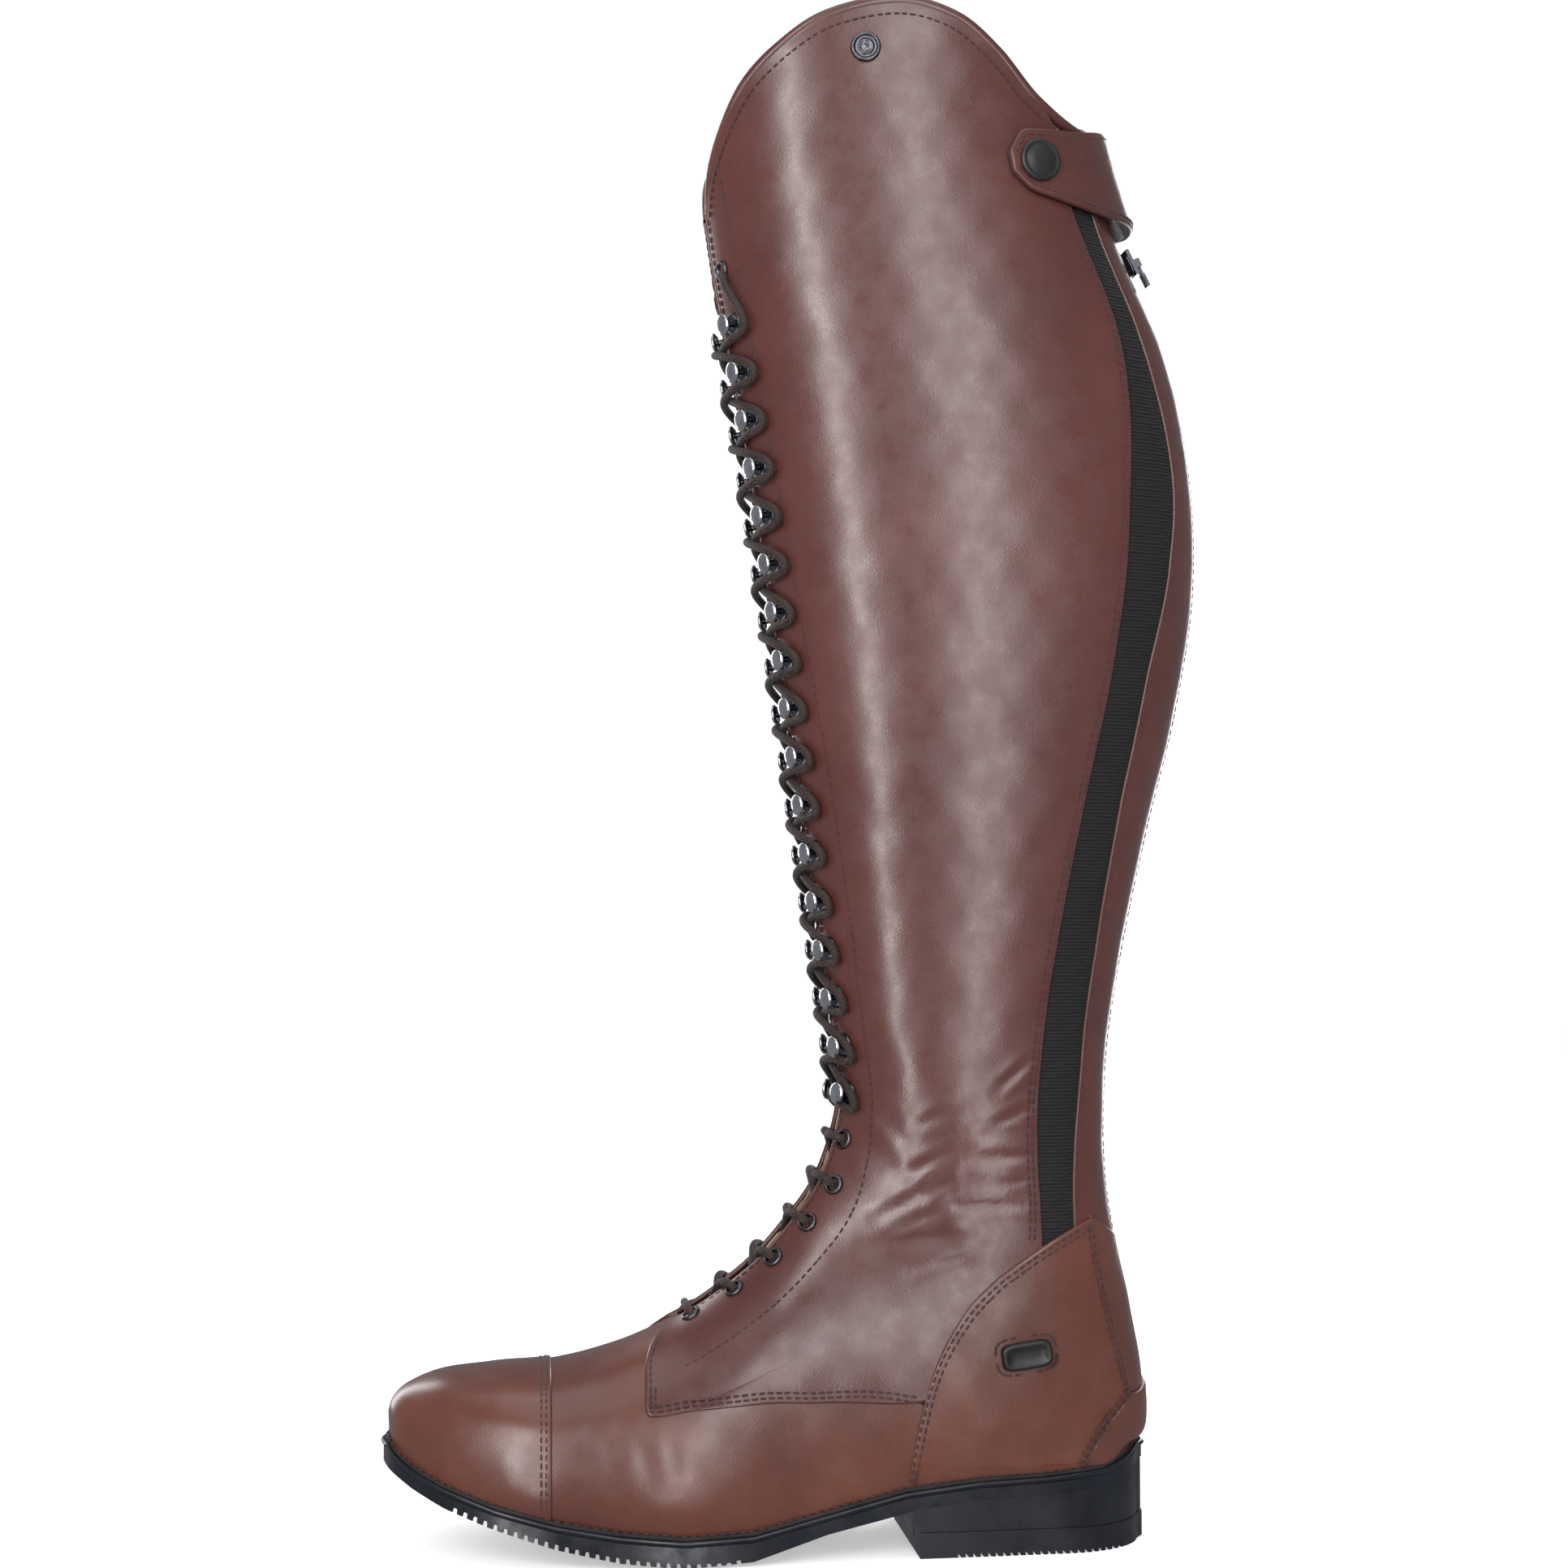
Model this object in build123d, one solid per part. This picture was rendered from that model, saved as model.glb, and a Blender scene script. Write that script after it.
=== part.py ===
"""Tall lace-front riding boot, left foot: every separate piece, in millimetres."""
import math
import os

import numpy as np
from build123d import *

# ---------------------------------------------------------------- driving sizes
SHELL = 1.6            # outer leather thickness
SKIN_GAP = 0.1         # outer leather starts this far under the form surface
STIFF_TOP = -1.85      # stays and stiffeners lie under the leather
STIFF_BOTTOM = -2.55
LINING_TOP = -2.65
LINING_BOTTOM = -3.5
TONGUE_TOP = -7.4
TONGUE_BOTTOM = -9.0
TOE_CAP_RISE = 0.9
FOXING_UNDER = 1.5     # heel foxing reaches this far under the form surface
HEEL_STIFF_TOP = -1.8
HEEL_STIFF_BOTTOM = -2.3
OVERLAY_RISE = 1.1     # counters, foxing and back stay stand this far out
BUTT = 0.004           # share of a side left open at a butt joint

WELT_OVERHANG = 2.6
WELT_DROP = 1.2        # welt top under the feather line
WELT_THICK = 2.4
WELT_RING = 8.0
SOLE_OVERHANG = 2.2
HEEL_OVERHANG = 1.8
HEEL_BREAST_X = 41.0
HEEL_LIFT_TOP = 9.0
SEAT_THICK = 4.0
LUG_PITCH = 3.5
LUG_GROOVE = 1.5
LUG_DEPTH = 1.8
LIFT_PITCH = 2.7
LIFT_NOTCH = 1.2

HOOK_COUNT = 17
HOOK_BASE_R = 4.2
HOOK_BASE_H = 1.0
HOOK_STEM_R = 1.0
HOOK_HEAD_R = 3.8
HOOK_HEAD_LOW = 4.6
HOOK_HEAD_HIGH = 6.2
EYELET_OUTER_R = 3.6
EYELET_BORE_R = 2.35
LACE_D = 2.8
LACE_UNDER = -5.4      # lace centre line behind the facings
LACE_OVER = 3.2        # and over the leather beside a hook

ZIP_LOW = 17.1         # stations of the zip's two ends
ZIP_HIGH = 27.75
BACK_CENTRE_X = -92.3  # centre and radius of the calf's back arc
BACK_CENTRE_Z = 359.0
BACK_RADIUS = 240.2
SLIDER_GAP = 3.0       # slider plate over the coils
SLIDER_Z = 466.0
PULL_LENGTH = 9.5
PIN_HEIGHT = 1.6

STRAP_THICK = 2.2
STRAP_REST = 1.4       # strap's stand-off from the leather
STRAP_FLARE = 5.4      # extra stand-off at the lower lip over the zip
CAP_RADIUS = 7.8
STUD_RADIUS = 3.4
SOCKET_RADIUS = 4.8

# front x, front z, lower x, lower z, half width, centre y, end angle, skew, fullness
STATIONS = [
    (-145.4, 47.0, -145.0, 39.5, 0.5, 8.0, 105, 0.0, 0.04),
    (-143.8, 52.0, -142.8, 36.5, 13.0, 7.6, 105, 0.0, 0.04),
    (-138.5, 57.0, -136.5, 32.5, 23.0, 7.0, 105, 0.0, 0.04),
    (-127.0, 61.6, -125.0, 27.5, 33.0, 5.5, 106, 0.0, 0.04),
    (-108.0, 64.0, -107.0, 21.5, 40.5, 4.0, 107, 0.0, 0.04),
    (-86.0, 65.8, -86.0, 16.5, 44.8, 2.5, 107, 0.0, 0.03),
    (-64.0, 71.6, -64.0, 13.0, 46.4, 1.5, 107, 0.0, 0.02),
    (-44.0, 80.6, -42.0, 11.0, 46.2, 0.8, 107, 0.0, 0.0),
    (-28.0, 91.5, -18.0, 12.0, 43.5, 0.3, 107, 0.0, 0.0),
    (-13.5, 105.0, 8.0, 18.0, 39.0, 0.0, 107, 0.0, 0.0),
    (-1.5, 121.0, 36.0, 24.5, 35.5, 0.0, 108, 0.0, 0.0),
    (7.0, 135.5, 62.0, 27.5, 34.0, 0.0, 110, 0.0, 0.0),
    (12.5, 149.0, 87.0, 28.5, 33.4, 0.0, 118, 0.0, 0.01),
    (15.2, 160.0, 109.0, 30.5, 33.0, 0.0, 135, 0.02, 0.03),
    (15.6, 169.0, 125.0, 36.0, 33.0, 0.0, 180, 0.04, 0.04),
    (14.6, 179.0, 126.2, 58.0, 33.0, 0.0, 180, 0.05, 0.05),
    (13.2, 189.0, 122.0, 84.0, 33.0, 0.0, 180, 0.05, 0.05),
    (11.6, 200.0, 116.8, 108.0, 33.0, 0.0, 180, 0.05, 0.05),
    (9.4, 214.0, 113.6, 130.0, 33.0, 0.0, 180, 0.05, 0.05),
    (7.0, 231.0, 112.9, 153.0, 33.5, 0.0, 180, 0.05, 0.05),
    (3.4, 255.0, 114.9, 182.0, 35.0, 0.0, 180, 0.05, 0.05),
    (-1.0, 285.0, 120.9, 217.0, 37.5, 0.0, 180, 0.05, 0.05),
    (-6.2, 320.0, 129.8, 257.0, 40.5, 0.0, 180, 0.05, 0.05),
    (-11.6, 355.0, 140.6, 300.0, 43.0, 0.0, 180, 0.05, 0.05),
    (-17.2, 390.0, 147.5, 345.0, 44.5, 0.0, 180, 0.05, 0.05),
    (-23.4, 425.0, 145.9, 390.0, 45.0, 0.0, 180, 0.05, 0.05),
    (-29.6, 458.0, 136.6, 432.0, 45.0, 0.0, 180, 0.05, 0.05),
    (-34.0, 490.0, 118.4, 476.0, 44.5, 0.0, 180, 0.05, 0.05),
    (-36.0, 520.0, 109.5, 516.0, 44.0, 0.0, 180, 0.05, 0.05),
    (-36.5, 550.0, 101.0, 556.0, 43.5, 0.0, 180, 0.05, 0.05),
    (-36.5, 580.0, 92.0, 596.0, 43.0, 0.0, 180, 0.05, 0.05),
]
TABLE = np.array(STATIONS, dtype=float)

# Edges of the upper's pieces, as (station, angle) on the lateral side.
FACING_EDGE = [(6.95, 8), (8.3, 12), (9.5, 16), (10.7, 18), (12.0, 14), (13.5, 9.5),
               (16, 8.5), (20, 7.5), (24, 6.5), (26.65, 5.5)]
FACING_STITCH = [(7.1, 43), (8.3, 42), (9.8, 42), (11.3, 40), (12.9, 35), (15.2, 33),
                 (18.8, 35), (20.9, 32), (22.3, 27), (24.1, 23), (26.0, 22), (27.3, 20)]
VAMP_BACK = [(6.85, 0), (6.65, 20), (6.5, 40), (7.0, 57), (8.0, 67), (9.0, 77),
             (9.8, 92), (10.1, 107.8)]
COUNTER_FRONT = [(10.1, 107.8), (10.6, 91), (11.1, 84), (11.6, 81), (12.4, 80), (13.3, 84)]
COUNTER_TOP = [(13.3, 84), (14.4, 90), (15.2, 98), (16.1, 113), (16.9, 133)]
COUNTER_BACK = [(12.55, 122.0), (13.24, 129.2), (13.84, 136.9), (14.55, 147.8), (15.3, 137), (16.9, 133)]
FOXING_TOP = [(12.66, 124), (13.24, 131), (13.84, 139), (14.64, 152), (14.95, 180)]
GORE_FRONT = [(15.25, 98), (16.1, 102), (17.2, 106), (18.5, 111), (20.2, 117), (22.0, 121),
              (24.2, 124), (25.3, 129), (26.1, 132), (27.75, 132)]
GORE_BACK = [(16.4, 120), (17.2, 125), (18.0, 130), (19.0, 135), (20.4, 138), (22.2, 137),
             (23.1, 137), (24.0, 142), (24.8, 146), (26.0, 143), (27.0, 144), (27.78, 146)]
TOP_LATERAL = [(26.7, 5.5), (27.1, 12), (27.56, 22), (28.08, 34), (28.48, 48), (28.8, 64),
               (28.92, 85), (28.76, 102), (28.44, 114), (28.0, 127), (27.8, 146), (27.9, 177)]
TOP_MEDIAL = [(26.7, 5.5), (27.1, 12), (27.4, 22), (27.6, 40), (27.75, 64), (27.8, 90),
              (27.8, 120), (27.85, 146), (27.9, 177)]
EYELETS = [(7.36, 14.5), (8.32, 20), (9.24, 24), (10.16, 27), (11.16, 27.5), (12.12, 22)]
TOP_EYELET = (26.04, 13.5)
HOOK_ANGLES = (18.5, 15.5)   # lowest and highest hook
HOOK_HEIGHTS = (161.0, 439.0)

PARTS = {}


def hermite(rows, s):
    """Smooth value at s, in steps of one row, through the rows of an array."""
    slopes = np.gradient(rows, axis=0)
    i = int(np.clip(math.floor(s), 0, len(rows) - 2))
    f = s - i
    return (rows[i] * (1 + 2 * f) * (1 - f) ** 2 + slopes[i] * f * (1 - f) ** 2
            + rows[i + 1] * f * f * (3 - 2 * f) + slopes[i + 1] * f * f * (f - 1))


def section(t):
    """The nine section values at station t."""
    values = hermite(TABLE, t)
    values[6] = min(values[6], 180.0)
    return values


def share_at(angle, skew):
    """Share of the way from the front line to the back line at an angle in radians."""
    return (1 - math.cos(angle)) / 2 + skew * math.sin(angle) ** 2


def skin(t, phi):
    """Point of the form surface. phi in degrees: 0 front, below 0 lateral, over 0 medial."""
    phi = (phi + 180.0) % 360.0 - 180.0
    fx, fz, lx, lz, half, centre, end, skew, full = section(t)
    angle = math.radians(abs(phi))
    share = share_at(angle, skew) / share_at(math.radians(end), skew)
    reach = half * (math.sin(angle) + full * math.sin(3 * angle)) / (1 - full)
    y = centre + math.copysign(reach, phi)
    return np.array([fx + (lx - fx) * share, y, fz + (lz - fz) * share])


def normal(t, phi):
    """Outward unit normal of the form surface."""
    up = skin(t + 0.01, phi) - skin(t - 0.01, phi)
    across = skin(t, phi + 0.3) - skin(t, phi - 0.3)
    n = np.cross(up, across)
    return n / np.linalg.norm(n)


def lifted(t, phi, height):
    """Point at a height over the form surface."""
    return skin(t, phi) + normal(t, phi) * height


def end_angle(t):
    return section(t)[6]


def feather_z(x):
    """Height of the feather line, where the upper meets the welt."""
    return float(np.interp(x, TABLE[:15, 2], TABLE[:15, 3]))


# ---------------------------------------------------------------- thick panels
def edge_line(points, side=1, start=0.0, stop=1.0):
    """An edge on the form surface: a function of 0 to 1 giving (station, angle)."""
    rows = np.array([(t, side * a) for t, a in points], dtype=float)
    steps = np.linspace(0, len(rows) - 1, 120)
    marks = np.array([hermite(rows, s) for s in steps])
    spots = np.array([skin(t, a) for t, a in marks])
    run = np.concatenate([[0], np.cumsum(np.linalg.norm(np.diff(spots, axis=0), axis=1))])
    run /= run[-1]

    def at(s):
        share = start + (stop - start) * s
        return np.array([np.interp(share, run, marks[:, 0]), np.interp(share, run, marks[:, 1])])
    return at


def straight(a, b):
    """A plain edge from (station, angle) a to b."""
    a, b = np.array(a, dtype=float), np.array(b, dtype=float)
    return lambda s: a + (b - a) * s


def panel_grid(left, right, low, high, across, along):
    """(station, angle) pairs filling four edges; low and high run from left to right."""
    grid = []
    for v in np.linspace(BUTT, 1 - BUTT, along):
        row = []
        for u in np.linspace(BUTT, 1 - BUTT, across):
            blend = ((1 - u) * left(v) + u * right(v) + (1 - v) * low(u) + v * high(u)
                     - (1 - u) * (1 - v) * left(0) - u * (1 - v) * right(0)
                     - (1 - u) * v * left(1) - u * v * right(1))
            row.append(blend)
        grid.append(row)
    return grid


def thick_panel(grid, outer, inner):
    """Closed solid between two heights over the form surface. Heights may be functions."""
    outer_at = outer if callable(outer) else lambda t, phi: outer
    inner_at = inner if callable(inner) else lambda t, phi: inner
    tops = []
    unders = []
    for row in grid:
        tops.append(Edge.make_spline([Vector(*lifted(t, a, outer_at(t, a))) for t, a in row]))
        unders.append(Edge.make_spline([Vector(*lifted(t, a, inner_at(t, a))) for t, a in row]))
    walls = [[Edge.make_line(top @ end, under @ end) for top, under in zip(tops, unders)]
             for end in (0, 1)]
    faces = [Face.make_surface_from_curves(tops[0], unders[0]),
             Face.make_surface_from_curves(tops[-1], unders[-1])]
    for lines in (tops, unders, walls[0], walls[1]):
        faces += [Face.make_surface_from_curves(a, b) for a, b in zip(lines, lines[1:])]
    solid = Solid(Shell(Face.sew_faces(faces)[0]))
    return solid if solid.volume > 0 else -solid


def panel(left, right, low, high, outer, inner, across=12, along=16):
    return thick_panel(panel_grid(left, right, low, high, across, along), outer, inner)


def joined(first, second, share):
    """One edge made of two, the first filling this share."""
    return lambda s: first(s / share) if s < share else second((s - share) / (1 - share))


def surface_frame(t, phi, height=0.0):
    """Plane on the form surface, its Z along the outward normal, its X across."""
    p = lifted(t, phi, height)
    n = normal(t, phi)
    across = skin(t, phi + 0.5) - skin(t, phi - 0.5)
    return Plane(origin=Vector(*p), x_dir=Vector(*across), z_dir=Vector(*n))


def disc(plane, radius, low, high):
    start = Plane(plane.origin + plane.z_dir * low, x_dir=plane.x_dir, z_dir=plane.z_dir)
    return start.location * Cylinder(radius, high - low, align=(Align.CENTER, Align.CENTER, Align.MIN))


def save(name, *solids):
    shape = solids[0] if len(solids) == 1 else Compound(children=list(solids))
    PARTS[name] = shape


# ---------------------------------------------------------------- upper
def side_name(base, side):
    return base + ("_lateral" if side < 0 else "_medial")


def eyelet_spots():
    return EYELETS + [TOP_EYELET]


def cut_eyelet_holes(solid, side):
    for t, angle in eyelet_spots():
        solid = solid - disc(surface_frame(t, side * angle), EYELET_BORE_R + 0.5, -7, 4)
    return solid


def mirrored_pair(points):
    """The lateral points from the edge inwards, then the medial ones outwards."""
    lateral = [(t, -a) for t, a in reversed(points)]
    medial = [(t, a) for t, a in points if a > 0]
    return lateral + medial


def around_back(points):
    """The lateral points, then on round the back to the medial side."""
    lateral = [(t, -a) for t, a in points]
    medial = [(t, a - 360) for t, a in reversed(points) if a < 180]
    return lateral + medial


def make_toe_cap():
    toe = 4.93
    start = 0.35
    left = edge_line([(start, end_angle(start)), (1, 105), (2, 105), (3, 106), (4, 107), (toe, 107)], -1)
    right = edge_line([(start, end_angle(start)), (1, 105), (2, 105), (3, 106), (4, 107), (toe, 107)], 1)
    low = straight((start, -105), (start, 105))
    high = straight((toe, -107), (toe, 107))
    save("toe_cap", panel(left, right, low, high, TOE_CAP_RISE, -SKIN_GAP - SHELL, 25, 14))
    puff_high = straight((4.6, -107), (4.6, 107))
    side = [(start, 105), (1, 105), (2, 105), (3, 106), (4, 107), (4.6, 107)]
    puff = panel(edge_line(side, -1), edge_line(side, 1), low, puff_high, STIFF_TOP, STIFF_BOTTOM, 25, 14)
    save("toe_puff", puff)


def make_vamp():
    side = [(4.96, 107), (6, 107), (7, 107), (8, 107), (9, 107), (10.1, 107.8)]
    low = straight((4.96, -107), (4.96, 107))
    high = edge_line(mirrored_pair(VAMP_BACK))
    vamp = panel(edge_line(side, -1), edge_line(side, 1), low, high,
                 -SKIN_GAP, -SKIN_GAP - SHELL, 29, 16)
    save("vamp", vamp)
    start = [(0.4, 105), (1, 105), (2, 105), (3, 106), (4, 107), (6, 107), (8, 107), (10.1, 107.8)]
    low = straight((0.4, -105), (0.4, 105))
    lining = panel(edge_line(start, -1), edge_line(start, 1), low, high,
                   LINING_TOP, LINING_BOTTOM, 29, 22)
    save("vamp_lining", lining)


def shaft_low_edge(side):
    """Low edge of a shaft panel: over the vamp, then up the counter."""
    rows = [(6.95, 8)] + VAMP_BACK[1:6] + [(9.8, 90)] + COUNTER_FRONT[2:] + COUNTER_TOP[1:]
    if side < 0:
        rows = rows[:-2]
    return edge_line(rows, side)


def make_shaft_side(side):
    facing = edge_line(FACING_EDGE, side)
    if side < 0:
        back = edge_line(GORE_FRONT, side)
        top = edge_line(TOP_LATERAL[:-2] + [(27.75, 132)], side)
    else:
        back = edge_line([(16.9, 133), (17.6, 146), (18.6, 154), (20, 158), (22, 160), (24, 160),
                          (26, 160), (27.87, 160)], side)
        top = edge_line(TOP_MEDIAL[:-1] + [(27.87, 160)], side)
    shell = panel(facing, back, shaft_low_edge(side), top, -SKIN_GAP, -SKIN_GAP - SHELL, 26, 34)
    save(side_name("shaft_panel", side), cut_eyelet_holes(shell, side))

    stay_low = edge_line([(6.95, 8), (6.7, 20), (6.7, 32), (7.1, 43)], side)
    stay_high = edge_line([(26.65, 5.5), (27.0, 10), (27.2, 15), (27.3, 20)], side)
    stay = panel(facing, edge_line(FACING_STITCH, side), stay_low, stay_high,
                 STIFF_TOP, STIFF_BOTTOM, 6, 34)
    save(side_name("facing_stay", side), cut_eyelet_holes(stay, side))

    top_rows = TOP_LATERAL if side < 0 else TOP_MEDIAL
    low = joined(edge_line([(6.95, 8)] + VAMP_BACK[1:], side),
                 edge_line([(10.1, 107.8), (11, 110), (12, 118), (12.7, 128), (13.3, 143),
                            (13.9, 170), (14.1, 176)], side), 0.6)
    inner_back = edge_line([(14.1, 176), (16, 176), (18, 176), (21, 175), (24, 175), (27.9, 175)], side)
    inner_top = edge_line(top_rows[:-1] + [(27.9, 175)], side)
    lining = panel(facing, inner_back, low, inner_top, LINING_TOP, LINING_BOTTOM, 30, 60)
    save(side_name("shaft_lining", side), cut_eyelet_holes(lining, side))

    rise = 0.055
    edge_low = edge_line([(t + 0.01, a) for t, a in top_rows], side)
    edge_high = edge_line([(t + rise, a) for t, a in top_rows], side)
    first, last = top_rows[0], top_rows[-1]
    binding = panel(straight((first[0], side * first[1]), (first[0] + rise, side * first[1])),
                    straight((last[0], side * last[1]), (last[0] + rise, side * last[1])),
                    edge_low, edge_high, 0.5, LINING_BOTTOM, 40, 4)
    save(side_name("top_binding", side), binding)

    counter_low = edge_line([(10.1, 107.8), (11, 110), (12, 117.5), (12.55, 122.0)], side)
    counter = panel(edge_line(COUNTER_FRONT, side), edge_line(COUNTER_BACK, side), counter_low,
                    edge_line(COUNTER_TOP, side), OVERLAY_RISE, -SKIN_GAP - SHELL, 12, 14)
    save(side_name("counter", side), counter)


def make_back():
    gore = panel(edge_line(GORE_FRONT, -1), edge_line(GORE_BACK, -1),
                 straight((15.25, -98), (16.4, -120)), straight((27.75, -132), (27.78, -146)),
                 -SKIN_GAP - 0.3, -SKIN_GAP - SHELL, 6, 36)
    save("elastic_gore", gore)

    lateral_back = [(17.1, 176), (20, 176), (24, 176), (27.9, 176)]
    strip = panel(edge_line(GORE_BACK, -1), edge_line(lateral_back, -1),
                  edge_line([(16.4, 120), (16.95, 134), (17.02, 156), (17.1, 176)], -1),
                  straight((27.78, -146), (27.88, -176)), -SKIN_GAP, -SKIN_GAP - SHELL, 8, 34)
    save("back_strip_lateral", strip)
    medial_front = [(16.9, 133), (17.6, 146), (18.6, 154), (20, 158), (22, 160), (24, 160),
                    (26, 160), (27.87, 160)]
    strip = panel(edge_line(medial_front, 1), edge_line(lateral_back, 1),
                  straight((16.9, 133), (17.1, 176)), straight((27.87, 160), (27.9, 176)),
                  -SKIN_GAP, -SKIN_GAP - SHELL, 6, 34)
    save("back_strip_medial", strip)

    stay_low = edge_line(around_back([(14.74, 150.5), (14.95, 163), (15.04, 180)]))
    stay_high = edge_line(around_back([(16.8, 134.5), (16.86, 156), (16.88, 180)]))
    stay = panel(edge_line([(14.74, 150.5), (15.3, 138.5), (16.8, 134.5)], -1),
                 edge_line([(14.74, -209.5), (15.3, -221.5), (16.8, -225.5)]),
                 stay_low, stay_high, 0.6, -SKIN_GAP - SHELL, 20, 8)
    save("back_stay", stay)

    foxing_low = edge_line(around_back([(12.62, 127), (13.0, 135), (13.5, 152), (14.0, 180)]))
    foxing_high = edge_line(around_back(FOXING_TOP))
    foxing = panel(straight((12.62, -127), (12.66, -124)), straight((12.62, -233), (12.66, -236)),
                   foxing_low, foxing_high, OVERLAY_RISE, -FOXING_UNDER, 26, 9)
    save("heel_foxing", foxing)

    stiff_low = edge_line(around_back([(12.3, 121), (13.0, 135), (13.5, 152), (14.05, 180)]))
    stiff_high = edge_line(around_back([(13.6, 92), (15.6, 120), (16.6, 150), (16.8, 180)]))
    stiffener = panel(straight((12.3, -121), (13.6, -92)), straight((12.3, -239), (13.6, -268)),
                      stiff_low, stiff_high, HEEL_STIFF_TOP, HEEL_STIFF_BOTTOM, 30, 20)
    save("heel_stiffener", stiffener)


def make_tongue():
    sides = [(6.3, 30), (8, 32), (10, 34), (13, 30), (18, 28), (24, 24), (26.6, 22)]
    tongue = panel(edge_line(sides, -1), edge_line(sides, 1), straight((6.3, -30), (6.3, 30)),
                   straight((26.6, -22), (26.6, 22)), TONGUE_TOP, TONGUE_BOTTOM, 12, 34)
    save("tongue", tongue)


# ---------------------------------------------------------------- sole and heel
def plan_outline(offset):
    """Flat face of the sole's outline, grown by an offset from the feather line."""
    stations = [0.0, 0.5, 1, 2, 3, 4, 5, 6, 7, 8, 9, 10, 11, 12, 12.7, 13.3, 13.7]
    medial = [skin(t, end_angle(t)) for t in stations]
    lateral = [skin(t, -end_angle(t)) for t in stations]
    ring = lateral[::-1] + medial[1:] + [skin(14.0, 180)]
    ring = np.array([p[:2] for p in ring])
    forward = np.roll(ring, -1, axis=0) - np.roll(ring, 1, axis=0)
    outward = np.stack([-forward[:, 1], forward[:, 0]], axis=1)
    outward /= np.linalg.norm(outward, axis=1)[:, None]
    middle = np.array([-10.0, 0.0])
    if ((ring - middle) * outward).sum() < 0:
        outward = -outward
    ring = ring + outward * offset
    loop = Spline(*[(x, y) for x, y in ring], periodic=True)
    return make_face(Wire([loop]))


def side_band(top, bottom, first_x=-160):
    """Solid slab between two side-view lines, wide enough for the whole boot."""
    xs = [x for x in SIDE_XS if x >= first_x]
    upper = [(x, top(x)) for x in xs]
    lower = [(x, bottom(x)) for x in reversed(xs)]
    points = upper + lower
    wire = Polyline(*[(x, 0, z) for x, z in points], close=True)
    return extrude(make_face(wire), amount=70, dir=(0, 1, 0), both=True)


SIDE_XS = [-160, -150, -145, -142.8, -136.5, -125, -107, -86, -64, -42, -18, 8, 36, 40.9, 62, 87,
           109, 125, 140]


def column(offset):
    return extrude(plan_outline(offset), amount=80, dir=(0, 0, 1))


SOLE_SIDE = [(-160, 34.5), (-148, 31.0), (-134.4, 23.4), (-122.6, 18.4), (-104, 12.0), (-86.7, 7.2),
             (-71, 3.6), (-56.5, 1.3), (-40, 0.0), (-27, 0.0), (-15, 2.4), (-3.5, 6.2), (14, 11.6),
             (25.7, 14.4), (36.8, 15.9), (45, 16.6)]


def sole_bottom_z(x):
    xs = [p[0] for p in SOLE_SIDE]
    zs = [p[1] for p in SOLE_SIDE]
    return float(np.interp(x, xs, zs))


def welt_low(x):
    return feather_z(x) - WELT_DROP - WELT_THICK


def make_sole():
    ring = column(WELT_OVERHANG) - column(WELT_OVERHANG - WELT_RING)
    save("welt", ring & side_band(lambda x: feather_z(x) - WELT_DROP, welt_low))

    inside = column(WELT_OVERHANG - WELT_RING - 0.3)
    save("insole_board", inside & side_band(lambda x: feather_z(x) - 0.2, lambda x: feather_z(x) - 2.2))
    strip = Pos(32, 0, 20) * Box(124, 14, 60)
    shank = strip & side_band(lambda x: feather_z(x) - 2.3, lambda x: feather_z(x) - 3.5)
    save("steel_shank", shank)
    filler = inside & side_band(lambda x: feather_z(x) - 2.3, lambda x: feather_z(x) - 3.5)
    hole = Pos(32, 0, 20) * Box(125, 14.6, 60)
    save("cork_filler", filler - hole)
    padding = column(-7.0) & side_band(lambda x: feather_z(x) + 3.0, lambda x: feather_z(x) - 0.1)
    save("footbed", padding)

    sole = column(SOLE_OVERHANG) & side_band(lambda x: welt_low(x) - 0.1, outsole_low)
    x = -121.0
    while x < -22.0:
        groove = Pos(x, 0, sole_bottom_z(x)) * Rot(0, groove_tilt(x), 0)
        sole = sole - groove * Box(LUG_GROOVE, 140, 2 * LUG_DEPTH)
        x += LUG_PITCH
    save("outsole", sole)

    seat = 0.2 + SEAT_THICK
    heel = column(HEEL_OVERHANG) & side_band(lambda x: welt_low(x) - seat, lambda x: HEEL_LIFT_TOP, 36)
    block = Pos(HEEL_BREAST_X + 60, 0, 20) * Box(120, 140, 60)
    save("heel_block", heel & block)

    lift = column(HEEL_OVERHANG + 0.5) & side_band(lambda x: HEEL_LIFT_TOP - 0.1, lambda x: 0.0, 36)
    lift = lift & block
    x = HEEL_BREAST_X + 14.0
    while x < 127.0:
        for y in (-32.0, 32.0):
            lift = lift - Pos(x, y, 0) * Box(LIFT_NOTCH, 24, 2.4)
        x += LIFT_PITCH
    save("heel_top_lift", lift)


def outsole_low(x):
    if x > 40.5:
        return welt_low(x) - 0.1 - SEAT_THICK
    return min(sole_bottom_z(x), welt_low(x) - 1.0)


def groove_tilt(x):
    rise = sole_bottom_z(x + 3) - sole_bottom_z(x - 3)
    return -math.degrees(math.atan2(rise, 6))


# ---------------------------------------------------------------- metal fittings
def hook_spots():
    spots = []
    for i in range(HOOK_COUNT):
        s = i / (HOOK_COUNT - 1)
        z = HOOK_HEIGHTS[0] + (HOOK_HEIGHTS[1] - HOOK_HEIGHTS[0]) * s
        angle = HOOK_ANGLES[0] + (HOOK_ANGLES[1] - HOOK_ANGLES[0]) * s
        spots.append((station_at_height(z, angle), angle))
    return spots


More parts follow.
